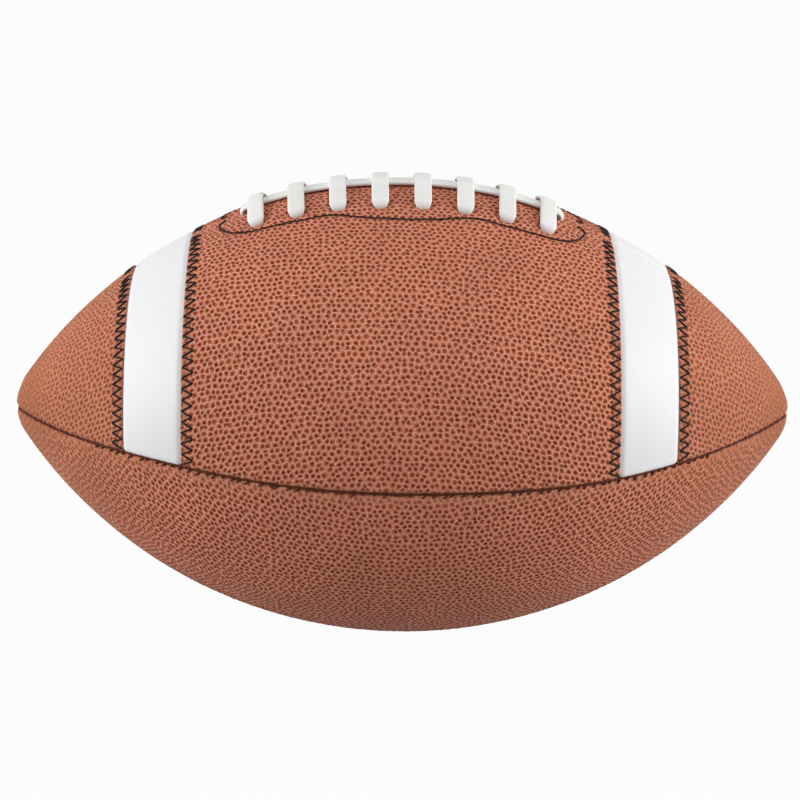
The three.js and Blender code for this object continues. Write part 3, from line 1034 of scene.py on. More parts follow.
@dataclass(frozen=True)
class CoatedCord:
    """Smooth coated lace: pale, with fine wrinkles and faint lines along it."""

    name: str
    colour: Colour
    soiled: Colour  # in patches
    roughness: float
    wrinkles: float = 1100.0  # scale of the fine wrinkles
    patch_ends: Pair = (0.45, 0.75)  # shades over which it turns soiled
    rough_ends: Pair = (0.2, 0.8)  # shades over which the roughness changes
    change: float = 0.05  # of the roughness, either way
    ribs: tuple[float, float, float] = (0.02, 1.2, 1.0)  # scales of the lines along and round it
    rib_share: float = 0.8  # of the lines in the relief
    relief: Pair = (0.2, 0.0002)  # strength, and depth in metres

    def material(self, grain: NodeTree) -> Material:
        """Builds the finish.

        Args:
            grain: Group of fine wrinkles.

        Returns:
            Two colours mixed in patches, with a relief of wrinkles and a noise drawn out along
            the cord.
        """
        graph = Paint(self.name)
        fine = graph.wrinkles(grain, self.wrinkles).outputs
        place = graph.node("TexCoord").outputs["UV"]
        turned = graph.node("Mapping", {"Vector": place, "Scale": self.ribs}).outputs[0]
        ribs = graph.node("TexNoise", {"Vector": turned, "Scale": 2.0, "Detail": 2.0}).outputs[0]
        height = graph.maths("MULTIPLY_ADD", ribs, self.rib_share, fine["Height"])
        patch = graph.range(fine["Shade"], *self.patch_ends, 0.0, 1.0)
        limits = (*self.rough_ends, self.roughness - self.change, self.roughness + self.change)
        rough = graph.range(fine["Shade"], *limits)
        colour = graph.mix(patch, self.colour, self.soiled)
        return graph.finish(colour, rough, graph.bump(height, *self.relief))


@dataclass(frozen=True)
class TwistedThread:
    """Dark sewing thread of twisted plies."""

    name: str
    colour: Colour  # of the plies
    hollow: Colour  # painted shade between them
    lay: float = 1.4  # length of one turn of the twist, in millimetres
    roughness: Pair = (0.85, 0.65)  # between the plies and on them
    gloss: float = 0.2  # specular level
    relief: Pair = (0.5, 0.0001)  # strength, and depth in metres

    def material(self) -> Material:
        """Builds the finish.

        Returns:
            Two colours and a relief, which follow slanted arches on the thread's own surface map; the
            darker colour is painted shade between the plies.
        """
        graph = Paint(self.name)
        surface = graph.node("SeparateXYZ", {0: graph.node("TexCoord").outputs["UV"]}).outputs
        ply = graph.arches(graph.maths("ADD", graph.maths("DIVIDE", surface[0], self.lay), surface[1]))
        # painted shade: the darker colour between the plies
        colour = graph.mix(ply, self.hollow, self.colour)
        rough = graph.range(ply, 0.0, 1.0, *self.roughness)
        return graph.finish(colour, rough, graph.bump(ply, *self.relief), self.gloss)


@dataclass(frozen=True)
class WovenCloth:
    """Plain-woven cloth."""

    name: str
    warp: Colour  # of the threads one way
    weft: Colour  # of the threads the other way
    pitch: float  # between threads, in millimetres
    hollow: float = 0.55  # light that is left between the threads
    roughness: float = 0.9
    relief: Pair = (0.4, 0.0003)  # strength, and depth in metres

    def material(self, weave: NodeTree) -> Material:
        """Builds the finish.

        Args:
            weave: Group of the plain weave.

        Returns:
            The colour of the threads on top, dimmed between them.
        """
        graph = Paint(self.name)
        place = graph.node("TexCoord").outputs["UV"]
        cloth = graph.node("Group", {"Vector": place, "Pitch": self.pitch}, node_tree=weave).outputs
        colour = graph.mix(cloth["Warp"], self.weft, self.warp)
        light = graph.range(cloth["Height"], 0.0, 1.0, self.hollow, 1.0)
        normal = graph.bump(cloth["Height"], *self.relief)
        return graph.finish(graph.dimmed(colour, light), self.roughness, normal)


@dataclass(frozen=True)
class MouldedRubber:
    """Dull moulded rubber with a bloom in patches."""

    name: str
    colour: Colour
    bloom: Colour
    wrinkles: float = 900.0  # scale of the fine wrinkles
    patch_ends: Pair = (0.4, 0.8)  # shades over which the bloom comes in
    roughness: Pair = (0.5, 0.7)  # without the bloom and with it
    relief: Pair = (0.15, 0.0002)  # strength, and depth in metres

    def material(self, grain: NodeTree) -> Material:
        """Builds the finish.

        Args:
            grain: Group of fine wrinkles.

        Returns:
            Two colours mixed in patches, rougher where the bloom is.
        """
        graph = Paint(self.name)
        fine = graph.wrinkles(grain, self.wrinkles).outputs
        patch = graph.range(fine["Shade"], *self.patch_ends, 0.0, 1.0)
        colour = graph.mix(patch, self.colour, self.bloom)
        rough = graph.range(patch, 0.0, 1.0, *self.roughness)
        return graph.finish(colour, rough, graph.bump(fine["Height"], *self.relief))


@dataclass
class Finishes:
    """The ball's materials, built once each."""

    grain: Grain  # pebbles of the leather
    brown: Material = field(init=False)
    white: Material = field(init=False)
    lace: Material = field(init=False)
    thread: Material = field(init=False)
    seam_thread: Material = field(init=False)
    lining: Material = field(init=False)
    dark_cloth: Material = field(init=False)
    rubber: Material = field(init=False)

    def __post_init__(self) -> None:
        """Builds the shared groups and then each material."""
        grain, weave, pebbles = fine_grain_group(), weave_group(), pebble_group(self.grain)
        self.brown = Leather(
            name="brown_leather",
            # the pale lines carry painted highlights, and the dark pebbles partly painted shade
            line=srgb(247, 182, 153),
            flank=srgb(206, 113, 83),
            pebble=srgb(120, 43, 18),
            # the pale edge colour is wear, and painted light along a lower panel's upper lip
            edge=srgb(208, 134, 103),
            tip=srgb(178, 109, 76),
            roughness=0.6,
            gloss=0.1,
            patches=0.12,
            relief=0.00045,
        ).material(pebbles, grain)
        self.white = Leather(
            name="white_leather",
            line=srgb(247, 247, 249),
            flank=srgb(247, 247, 249),
            pebble=srgb(246, 246, 248),
            edge=srgb(245, 245, 246),
            tip=srgb(247, 247, 249),
            roughness=0.5,
            gloss=0.3,
            patches=0.02,
            relief=0.00001,
        ).material(pebbles, grain)
        self.lace = CoatedCord("white_lace", srgb(251, 251, 249), srgb(243, 242, 237), 0.5).material(grain)
        # each thread's second colour is painted shade between its plies
        self.thread = TwistedThread("black_thread", srgb(30, 26, 26), srgb(10, 8, 8)).material()
        self.seam_thread = TwistedThread("brown_thread", srgb(98, 46, 27), srgb(46, 20, 12)).material()
        lining = WovenCloth("lining_cloth", srgb(214, 205, 186), srgb(196, 186, 165), 0.6)
        self.lining = lining.material(weave)
        self.dark_cloth = WovenCloth("dark_cloth", srgb(96, 76, 60), srgb(80, 62, 48), 0.8).material(weave)
        self.rubber = MouldedRubber("black_rubber", srgb(26, 26, 27), srgb(48, 48, 50)).material(grain)


# Sewing and lacing plans, shared by the leather that they dent and the threads that fill them


@dataclass(frozen=True)
class SeamSewing:
    """Stitches that hold the panels together, seen as dents in the lips of a seam."""

    pitch: float = 3.4  # between stitches
    stray: float = 2.2  # length over which a stitch may lie
    loosest: float = 0.25  # least pull of a stitch
    dent: float = 0.55  # depth of the dent at the lip
    width: float = 0.75  # half width of the dent along the seam
    reach: float = 2.8  # how far the dent goes into the panel

    STRAY_DRAW = 11.0  # salt of the draw of a stitch's place
    PULL_DRAW = 12.0  # salt of the draw of its pull

    def station(self, number: Array, seam: Seam) -> tuple[Array, Array]:
        """Run of a stitch, and its pull from the loosest to 1.

        Args:
            number: Number of the stitch.
            seam: The seam.

        Returns:
            Its even place and a random stray, and a random pull.
        """
        stray = self.stray * (chance(number, seam.value, self.STRAY_DRAW) - 0.5)
        pull = self.loosest + (1 - self.loosest) * chance(number, seam.value, self.PULL_DRAW)
        return number * self.pitch + stray, pull

    def dents(self, run: Array, away: Array, seam: Seam) -> Array:
        """Depth of the dents.

        Args:
            run: Along the leather.
            away: Distance from the seam.
            seam: The seam.

        Returns:
            A bell along the run at the nearest stitch, fading to nothing at the reach.
        """
        place, pull = self.station(np.round(run / self.pitch), seam)
        return self.dent * pull * bell(run - place, self.width) * (1 - smoothstep(0.0, self.reach, away))


@dataclass(frozen=True)
class ZigzagSewing:
    """Zigzag that holds a brown edge down on a stripe, and the groove that it presses."""

    pitch: float = 3.8  # between points on the same side
    near: float = 0.2  # distance of the near points from the stripe
    far: float = 4.7  # distance of the far points
    top: float = 3.0  # from the top seam to the first point
    margin: float = 1.2  # from the last point to the other seam
    groove: float = 0.35  # depth of the groove
    width: float = 0.55  # half width of the groove

    def points(self, length: float) -> tuple[Array, Array]:
        """Needle holes along an edge.

        Args:
            length: Length of the edge.

        Returns:
            Distance of each along the edge, and from it.
        """
        sewn = length - self.top - self.margin
        count = 2 * round(sewn / self.pitch)
        number = np.arange(count + 1)
        along = self.top + sewn * number / count
        return along, np.where(number % 2 == 0, self.near, self.far)

    def grooves(self, along: Array, past: Array, length: float) -> Array:
        """Depth of the groove.

        Args:
            along: Distance along the edge.
            past: Distance from the edge.
            length: Length of the edge.

        Returns:
            A bell of the distance from the stitch that goes past the same place of the edge.
        """
        places, offsets = self.points(length)
        slant = math.atan2(self.far - self.near, self.pitch / 2)
        away = (past - np.interp(along, places, offsets)) * math.cos(slant)
        sewn = (along > places[0]) & (along < places[-1])
        return np.where(sewn, self.groove * bell(away, self.width), 0.0)


@dataclass(frozen=True)
class LacePlan:
    """Where the lace goes."""

    bars: int = 8  # across the seam
    pitch: float = 15.0  # between bars
    reach: float = 14.8  # from the seam to a row of holes
    outer_pull: float = 1.0  # how much nearer the seam the outermost holes of a row are
    overrun: float = 4.5  # how far the long run goes past the outer bars
    hole_radius: float = 3.0
    hole_depth: float = 9.0  # to which the tool for a hole goes
    middle: float = 0.0  # run of the middle of the lacing
    stitch: Pairs = (
        # runs and arcs of half the stitched line round the holes
        (0.0, 24.6), (13.5, 23.2), (26.0, 20.1), (37.0, 20.6), (51.5, 20.0), (57.0, 19.0),
        (62.0, 16.2), (65.4, 12.0), (67.6, 6.5), (67.0, 3.8), (64.8, 2.9),
    )
    stitch_parts: int = 24  # marks from one of those to the next

    @property
    def row(self) -> float:
        """Distance of the outer bars from the middle of the lacing."""
        return (self.bars - 1) / 2 * self.pitch

    @property
    def rail_end(self) -> float:
        """Distance from the middle of the lacing at which the long run goes into the seam."""
        return self.row + self.overrun

    @property
    def bar_runs(self) -> Array:
        """Runs of the bars from the middle of the lacing, from right to left."""
        return self.row - self.pitch * np.arange(self.bars)

    @property
    def reaches(self) -> Array:
        """Distance of each bar's holes from the seam."""
        number = np.arange(self.bars)
        return self.reach - self.outer_pull * ((number == 0) | (number == self.bars - 1))

    def holes(self, side: Side) -> Array:
        """(n, 2) runs and arcs of the holes that cut one upper panel."""
        row = np.stack([self.bar_runs, side.value * self.reaches], -1)
        return np.vstack([row, [[-self.rail_end, 0.0], [self.rail_end, 0.0]]]) + [self.middle, 0.0]

    def pegs(self, ball: BallShape, side: Side) -> list[Draft]:
        """Tools for the holes that cut one upper panel."""
        spots = [(run, arc / float(ball.girth(run))) for run, arc in self.holes(side)]
        return [ball.peg(*spot, self.hole_radius, self.hole_depth) for spot in spots]

    def stitch_line(self, side: Side) -> Array:
        """Stitched line round the lace holes.

        Args:
            side: Side of the lacing.

        Returns:
            (n, 2) runs and arcs of a smooth curve from left to right.
        """
        half = np.array(self.stitch)
        whole = np.vstack([half[::-1] * [-1.0, 1.0], half[1:]])
        return smooth_path(whole, self.stitch_parts)[0] * [1.0, side.value] + [self.middle, 0.0]


@dataclass(frozen=True)
class ValvePlan:
    """Where the valve is."""

    share: float = 0.49  # of the way from the lacing to the back seam
    radius: float = 3.1  # of the hole for it

    @property
    def angle(self) -> float:
        """Its angle."""
        return -self.share * QUARTER

    def peg(self, ball: BallShape, bottom: float) -> Draft:
        """Tool for its hole, down to a depth."""
        return ball.peg(0.0, self.angle, self.radius, bottom)


# The cover


@dataclass(frozen=True)
class PanelGrid:
    """Grid over a piece of a panel, with (R, C) values."""

    start: Seam  # at which the columns start; they end at the next
    run: Array  # along the leather
    angle: Array  # round the ball
    near: Array  # distance from the first seam
    far: Array  # distance from the second seam
    surface: Array  # places on the surface map, in millimetres, last axis 2


@dataclass
class Cover:
    """Leather pieces of the ball: two upper panels of five pieces and two plain lower ones."""

    ball: BallShape
    grain: Grain
    sewing: SeamSewing
    zigzag: ZigzagSewing
    lacing: LacePlan
    valve: ValvePlan
    finishes: Finishes
    leather: float = 2.0  # thickness
    gap: float = 0.3  # between neighbouring pieces
    seam_dip: float = 1.5  # how deep the lip of a panel turns in at a seam
    seam_turn: float = 1.7  # width of leather that turns in
    turn_widens: Pair = (120.0, 160.0)  # runs over which that width doubles
    lower_turn: float = 4.0  # width of the softer turn at the upper lip of a lower panel
    lower_dip: float = 0.6  # its depth
    tip_turn: float = 2.6  # length of leather that turns in at a tip
    groove_share: float = 0.32  # most of a panel's width that turns in, where it is narrow
    thinnest: float = 0.15  # least thickness of a lapped edge
    tip_hole: float = 0.6  # radius left open at a tip
    lap: float = 6.0  # how far brown leather lies over a stripe, past its shown edge
    lip: float = 0.6  # thickness of the lapped edge
    lip_round: Pair = (0.5, 0.4)  # width and depth of that edge's rounding
    skive: float = 1.0  # length of the slope from the lapped edge to full thickness
    crown: float = 0.8  # how far the middle of a stripe swells
    crown_edge: float = 2.2  # width over which it swells
    spared: float = 0.8  # share of the stitches' dents that a stripe doesn't take
    spared_edge: float = 1.5  # width next to a stripe's edge that takes more of them
    line_groove: Pair = (0.4, 0.9)  # depth and half width of the line pressed round the lace holes
    line_field: Pair = (72.0, 30.0)  # run and arc within which that line lies
    dimple: Pair = (0.7, 1.4)  # depth and width of the dimple at a lace hole
    least_press: float = 0.6  # height of the pebbles next to a seam
    press_ends: Pair = (0.3, 1.8)  # distances from a seam over which they rise
    seam_worn: Pair = (0.2, 2.0)  # distances from a seam over which the edge's colour fades
    lower_worn: Pair = (0.5, 5.2)  # distances from the upper lip of a lower panel over which a band of painted light, in the edge's colour, fades
    lap_worn: Pair = (0.2, 5.5)  # the same from a lapped edge
    drawn_ends: Pair = (76.0, 130.0)  # runs over which leather is drawn flat towards a tip
    tight_ends: Pair = (140.0, 160.0)  # runs over which it is drawn tight
    flattened: float = 0.75  # share of the pebbles' height lost there
    tip_shares: Pair = (0.42, 0.4)  # of the tip's colour in drawn leather, and more in tight
    apart: float = 400.0  # between panels on the surface map
    step: float = 0.56  # between points on the upper panels
    tip_step: float = 1.4  # spacing of columns on the tip pieces, in those steps
    lower_step: float = 0.67  # between points on the lower panels
    lower_rows: float = 1.73  # rows of a lower panel for each step of half its length
    crowding: float = 0.16  # how far those rows crowd towards the tips
    inner_step: int = 9  # points of an outer face to one of the inner face

    EDGE = (0.0, 0.04, 0.14, 0.3, 0.52, 0.8, 1.15, 1.6)  # distances of the first points from an edge
    CLOSE = 0.01  # slack in telling a centre piece from a tip piece

    @property
    def panel_end(self) -> float:
        """Run at which a panel ends next to a tip."""
        return self.ball.run_at_tip(self.tip_hole)

    def roll(self, away: Array, turn: Array | float, dip: float) -> Array:
        """Depth of a turned edge: a quarter round, as deep as the dip and as wide as the turn."""
        share = np.clip(1 - away / turn, 0.0, 1.0)
        return dip * (1 - np.sqrt(1 - share**2))

    def turn_at(self, run: Array) -> Array:
        """Width of leather that turns in at a seam, more next to a tip."""
        wide = self.seam_turn * (1 + smoothstep(*self.turn_widens, np.abs(run)))
        return np.minimum(wide, self.groove_share * QUARTER * self.ball.girth(run))

    def panel_grid(self, runs: Array, start: Seam, step: float) -> PanelGrid:
        """Grid over a piece of a panel.

        Args:
            runs: Rows of the grid.
            start: Seam at which the columns start.
            step: Spacing of the columns at the middle of the ball.

        Returns:
            The grid. Its surface map is the run and the distance from the panel's middle line,
            each panel on its own stretch.
        """
        girth = self.ball.girth(runs)[:, None]
        width = QUARTER * self.ball.radius - self.gap
        share = graded(width, step, self.EDGE)[None] / width
        inset = self.gap / 2 / girth
        angle = start.angle + inset + (QUARTER - 2 * inset) * share
        near = (angle - start.angle) * girth - self.gap / 2
        far = (start.angle + QUARTER - angle) * girth - self.gap / 2
        run = np.broadcast_to(runs[:, None], angle.shape)
        across = (angle - start.angle - QUARTER / 2) * girth
        surface = np.stack([run, across + self.apart * start.value], -1)
        return PanelGrid(start, run, angle, near, far, surface)

    def seam_depth(self, grid: PanelGrid, dented: Array | float = 1.0) -> Array:
        """Depth of the turned lips of a panel.

        Args:
            grid: Grid over the piece.
            dented: Share of the stitches' dents.

        Returns:
            The deeper of the lips at both seams and the lip at a tip, with the dents added.
        """
        turn = self.turn_at(grid.run)
        stop = Seam((grid.start.value + 1) % len(Seam))
        lips, dents = 0.0, 0.0
        for away, seam in ((grid.near, grid.start), (grid.far, stop)):
            lips = lips + self.roll(away, turn, self.seam_dip)
            dents = dents + self.sewing.dents(grid.run, away, seam)
        tip = self.roll(self.panel_end - np.abs(grid.run), self.tip_turn, self.seam_dip)
        narrow = np.minimum(turn / self.seam_turn, 1.0)
        return np.maximum(lips, tip) + dented * narrow * dents

    def marks(self, grid: PanelGrid) -> dict[str, Array]:
        """Named values of a piece.

        Args:
            grid: Grid over the piece.

        Returns:
            How far pebbles are pressed, less next to a seam, and the stretched edges at the seams.
        """
        lip = np.minimum(grid.near, grid.far)
        press = self.least_press + (1 - self.least_press) * smoothstep(*self.press_ends, lip)
        return {"press": press, "edge": 1 - smoothstep(*self.seam_worn, lip)}

    def sheet_piece(
        self, name: str, grid: PanelGrid, outer: Array, inner: Array, marks: dict[str, Array]
    ) -> BlenderObject:
        """Closed piece of leather over a grid.

        Args:
            name: Name of the piece.
            grid: Grid over the piece.
            outer: Depth of the outer face.
            inner: Depth of the inner face.
            marks: Named values.

        Returns:
            The piece.
        """
        rows, cols = (picks(count, self.inner_step) for count in grid.run.shape)
        some = np.ix_(rows, cols)
        top = self.ball.place(grid.run, grid.angle, outer)
        below = self.ball.place(grid.run[some], grid.angle[some], inner[some])
        return closed_sheet(name, top, below, rows, cols, grid.surface, marks)

    def brown(self, name: str, runs: Array, start: Seam, step: float) -> BlenderObject:
        """Brown piece of a panel.

        The outer face is the round ball less the turned lips, with the pebbles on it. An upper
        piece is rounded and skived where it laps over a stripe, and takes the grooves and dimples
        of the sewing and the lace. A lower piece has a softer turn at its upper lip.

        Args:
            name: Name of the piece.
            runs: Rows of its grid.
            start: First seam of its panel.
            step: Spacing of the columns.

        Returns:
            The piece.
        """
        ball, grid = self.ball, self.panel_grid(runs, start, step)
        marks, seam = self.marks(grid), self.seam_depth(grid)
        far = np.abs(grid.run)
        drawn, tight = (smoothstep(*ends, far) for ends in (self.drawn_ends, self.tight_ends))
        height = self.grain.heights(grid.surface) * marks["press"] * (1 - self.flattened * drawn)
        outer = seam + self.grain.relief * (0.5 - height)
        inner = np.full(seam.shape, self.leather)
        if start in (Seam.TOP, Seam.BACK):
            off = np.abs(grid.run - ball.middle)
            past = np.maximum(ball.stripe_in - off, off - ball.stripe_out)
            centre = off[0, 0] <= ball.stripe_in + self.CLOSE
            length = QUARTER * float(ball.girth(ball.stripe_in if centre else ball.stripe_out))
            along = np.abs(from_lacing(grid.angle)) / QUARTER * length
            outer = outer + self.roll(past, *self.lip_round) + self.zigzag.grooves(along, past, length)
            thinned = 1 - smoothstep(self.lap, self.lap + self.skive, past)
            inner = self.leather + (self.lip - self.leather) * thinned
            outer = np.minimum(outer, inner + seam - self.thinnest) + self.lace_dents(grid)
            worn = 1 - smoothstep(*self.lap_worn, past)
        else:
            lip = grid.near if start is Seam.FRONT else grid.far
            turn = self.turn_at(grid.run) * self.lower_turn / self.seam_turn
            outer = outer + self.roll(lip, turn, self.lower_dip)
            # painted light: a wide band of the pale edge colour along the upper lip stands for the light
            # that its roll catches
            worn = 1 - smoothstep(*self.lower_worn, lip)
        marks["edge"] = np.maximum(marks["edge"], worn)
        marks["tip"] = self.tip_shares[0] * drawn + self.tip_shares[1] * tight
        return self.sheet_piece(name, grid, outer, inner + seam, marks)

    def lace_dents(self, grid: PanelGrid) -> Array:
        """Depth of the dimples at the lace holes and of the pressed line round them.

        Args:
            grid: Grid over a piece of an upper panel.

        Returns:
            Bells of the distances from the rims of the holes and from the nearest mark of the line.
        """
        side = Side.FRONT if grid.start is Seam.TOP else Side.BACK
        run, arc = grid.run, from_lacing(grid.angle) * self.ball.girth(grid.run)
        depth = np.zeros(run.shape)
        deep, wide = self.dimple
        for hole_run, hole_arc in self.lacing.holes(side):
            away = np.hypot(run - hole_run, arc - hole_arc) - self.lacing.hole_radius
            depth += deep * bell(np.maximum(away, 0.0), wide)
        close = (np.abs(run) < self.line_field[0]) & (np.abs(arc) < self.line_field[1])
        spots = np.stack([run[close], arc[close]], -1)
        line = self.lacing.stitch_line(side)
        away = np.full(run.shape, FAR)
        away[close] = np.min([np.hypot(*(spots - mark).T) for mark in line], axis=0)
        deep, wide = self.line_groove
        return depth + deep * bell(away, wide)

    def stripe(self, name: str, end: End, start: Seam) -> BlenderObject:
        """White stripe of an upper panel, which goes on under both lapped edges.

        Args:
            name: Name of the piece.
            end: End of the ball.
            start: First seam of its panel.

        Returns:
            The piece: a sheet that swells between the laps, by a square law next to them.
        """
        ball = self.ball
        low, high = ball.stripe_in - self.lap, ball.stripe_out + self.lap
        places = np.linspace(low, high, round((high - low) / self.step))
        grid = self.panel_grid(np.sort(end.value * places) + ball.middle, start, self.step)
        distance = np.abs(grid.run - ball.middle)
        inside = np.minimum(distance - ball.stripe_in, ball.stripe_out - distance)
        seam = self.seam_depth(grid, 1 - self.spared * smoothstep(0.0, self.spared_edge, inside))
        swell = self.crown * (1 - np.clip(1 - inside / self.crown_edge, 0.0, 1.0) ** 2)
        outer = self.lip + self.gap - swell + seam
        return self.sheet_piece(name, grid, outer, self.leather + seam, self.marks(grid))

    def cut_holes(self, centre: BlenderObject, side: Side) -> None:
        """Cuts the lace holes, and on the back the valve's hole.

        Args:
            centre: Centre piece of an upper panel.
            side: Its side of the lacing.
        """
        pegs = self.lacing.pegs(self.ball, side)
        if side is Side.BACK:
            pegs.append(self.valve.peg(self.ball, self.lacing.hole_depth))
        tool = joined(pegs)
        ones = np.ones(tool.count)
        cut_away(centre, tool.piece("hole_tool", {"press": ones, "edge": 0 * ones}))

    def build(self) -> None:
        """Builds and dresses the twelve pieces of the cover."""
        ball, brown, white = self.ball, self.finishes.brown, self.finishes.white
        edge = self.EDGE[:6]
        centre_runs = ball.middle - ball.stripe_in + graded(2 * ball.stripe_in, self.step, edge)
        for side, start in ((Side.FRONT, Seam.TOP), (Side.BACK, Seam.BACK)):
            panel = f"{Level.UPPER.word}_{side.word}"
            centre = self.brown(f"{panel}_center_leather", centre_runs, start, self.step)
            self.cut_holes(centre, side)
            register(centre, brown, Slot.BROWN, f"{panel}_center")
            for end in End:
                name = f"{panel}_stripe_{end.word}"
                register(self.stripe(f"{name}_leather", end, start), white, Slot.WHITE, name)
                inner = ball.stripe_out + end.value * ball.middle
                runs = np.sort(end.value * (inner + graded(self.panel_end - inner, self.step, edge)))
                name = f"{panel}_tip_{end.word}"
                tip = self.brown(f"{name}_leather", runs, start, self.tip_step * self.step)
                register(tip, brown, Slot.BROWN, name)
        share = np.linspace(-1.0, 1.0, round(self.lower_rows * self.panel_end / self.lower_step))
        lower_runs = self.panel_end * ((1 + self.crowding) * share - self.crowding * share**3)
        for side, start in ((Side.FRONT, Seam.FRONT), (Side.BACK, Seam.BOTTOM)):
            name = f"{Level.LOWER.word}_{side.word}_panel"
            panel = self.brown(f"{name}_leather", lower_runs, start, self.lower_step)
            register(panel, brown, Slot.BROWN, name)


# The lace


def heading(run: float, arc: float) -> Pair:
    """Direction of a stretch of lace as a unit vector."""
    far = math.hypot(run, arc)
    return run / far, arc / far


def against(way: Pair) -> Pair:
    """The opposite direction."""
    return -way[0], -way[1]


def square_to(way: Pair) -> Pair:
    """The direction a quarter turn away."""
    return way[1], -way[0]


@dataclass
class Lacing:
    """The lace: one flat cord, up through the seam, along it, and back and forth across it."""

    ball: BallShape
    plan: LacePlan
    finishes: Finishes
    width: float = 6.2  # of the cord
    thick: float = 1.6  # its thickness
    in_hole: float = 4.2  # its width where a hole squeezes it
    inside: float = 5.64  # depth of its middle inside the ball
    gap: float = 0.3  # between the cord and what it lies on
    tail: float = 6.7  # length past the first hole, inside
    bend: float = 1.5  # length of a bend, in thicknesses
    bunching: float = 0.3  # how much thicker it is in a hole
    flatness: Pair = (0.45, 0.75)  # powers that make its section flat, across and up
    sides: int = 28  # of its section
    parts: int = 7  # points from one step to the next

    ALONG = (1.0, 0.0)  # direction along the run
    AROUND = (0.0, 1.0)  # direction round the ball

    @property
    def rail(self) -> float:
        """Depth of the cord's middle where it lies on the leather."""
        return -(self.thick / 2 + self.gap)

    def hole_steps(self, hole: Pair, below: Pair, above: Pair, wide: Pair, across: Pair) -> list[Step]:
        """Steps of the lace through a hole from below.

        Args:
            hole: Run and arc of the hole.
            below: Direction in which the lace comes to it inside.
            above: Direction in which it leaves outside.
            wide: Direction of its width in the hole and outside.
            across: Direction of its width inside.

        Returns:
            Steps of run, arc, depth, width along the run, width round the ball, half width and
            roundness; the cord lies against the rim that is away from its way outside.
        """
        bend = self.bend * self.thick
        free, held = self.width / 2, self.in_hole / 2
        rows = (
            # distance from the hole, its direction, depth, direction of the width, half width, roundness
            (-bend, below, self.inside, across, free, 0.0),
            (-bend / 3, below, self.inside - bend / 5, wide, held, 0.5),
            (-1.1, above, self.inside - bend, wide, held, 1.0),
            (-1.5, above, 1.2, wide, held + 0.2, 1.0),
            (-1.4, above, 0.0, wide, held + 0.55, 0.9),
            (-0.6, above, 0.8 * self.rail, wide, free, 0.35),
            (bend / 2, above, self.rail, wide, free, 0.0),
        )
        return [
            [hole[0] + far * way[0], hole[1] + far * way[1], depth, *width, half, bunched]
            for far, way, depth, width, half, bunched in rows
        ]

    def steps(self) -> Array:
        """All steps of the lace, from its first end to its last, as (n, 7) numbers.

        Returns:
            A tail, the long run from left to right, and then each bar from front to back.
        """
        plan, free, rail = self.plan, self.width / 2, self.rail
        bar = rail - self.thick - self.gap / 2
        shelf = (rail + bar) / 2
        humps = ((self.width, shelf), (free, bar), (-free, bar), (-self.width, shelf))
        reach = plan.reaches
        lead = heading(plan.row - plan.rail_end, reach[0])
        cross = [heading(-plan.pitch, a + b) for a, b in zip(reach[:-1], reach[1:])]
        ways = [lead, *cross, lead]
        path = [[-plan.rail_end - self.tail, 0.0, self.inside, *self.AROUND, free, 0.0]]
        path += self.hole_steps((-plan.rail_end, 0.0), self.ALONG, self.ALONG, self.AROUND, self.AROUND)
        path += [[run, 0.0, rail, *self.AROUND, free, 0.0] for run in plan.bar_runs[::-1]]
        rail_hole = (plan.rail_end, 0.0)
        turned = (against(lead), against(self.ALONG), self.AROUND, square_to(lead))
        path += self.hole_steps(rail_hole, *turned)[::-1]
        for k, run in enumerate(plan.bar_runs):
            into, out = ways[k], ways[k + 1]
            before = (run + plan.pitch / 2, 0.0) if k else ((plan.rail_end + run) / 2, reach[0] / 2)
            path.append([*before, self.inside, *square_to(into), free, 0.0])
            turned = (into, against(self.AROUND), self.ALONG, square_to(into))
            path += self.hole_steps((run, reach[k]), *turned)
            path += [[run, arc, depth, *self.ALONG, free, 0.0] for arc, depth in humps]
            turned = (against(out), self.AROUND, self.ALONG, square_to(out))
            path += self.hole_steps((run, -reach[k]), *turned)[::-1]
        end = (run + free * lead[0], -reach[-1] + free * lead[1])
        path.append([*end, self.inside, *square_to(lead), free, 0.0])
        return np.array(path) + [plan.middle, 0, 0, 0, 0, 0, 0]

    def build(self) -> None:
        """Builds the lace: a flat section, bunched up in the holes, along a smooth path."""
        place = self.ball.near_lacing
        steps = self.steps()
        path, where = smooth_path(place(steps[:, 0], steps[:, 1], steps[:, 2]), self.parts)
        numbers = np.arange(len(steps))
        columns = (np.interp(where, numbers, column) for column in steps.T)
        run, arc, _, along_run, round_ball, half, bunched = columns
        along = unit(np.gradient(path, axis=0))
        here = place(run, arc, 0.0)
        wide = along_run[:, None] * (place(run + 1, arc, 0.0) - here)
        wide = wide + round_ball[:, None] * (place(run, arc + 1, 0.0) - here)
        wide = unit(wide - np.sum(wide * along, -1, keepdims=True) * along)
        thick = np.cross(wide, along) * (self.thick / 2 * (1 + self.bunching * bunched))[:, None]
        ring, flat = circle(self.sides), np.array(self.flatness)
        section = np.sign(ring) * np.abs(ring) ** (flat + (1 - flat) * bunched[:, None, None])
        draft = Draft()
        add_sweep(draft, path, wide * half[:, None], thick, section, 2 * (self.width + self.thick))
        register(draft.piece("lace_cord"), self.finishes.lace, Slot.LACE, "lace")


# Threads


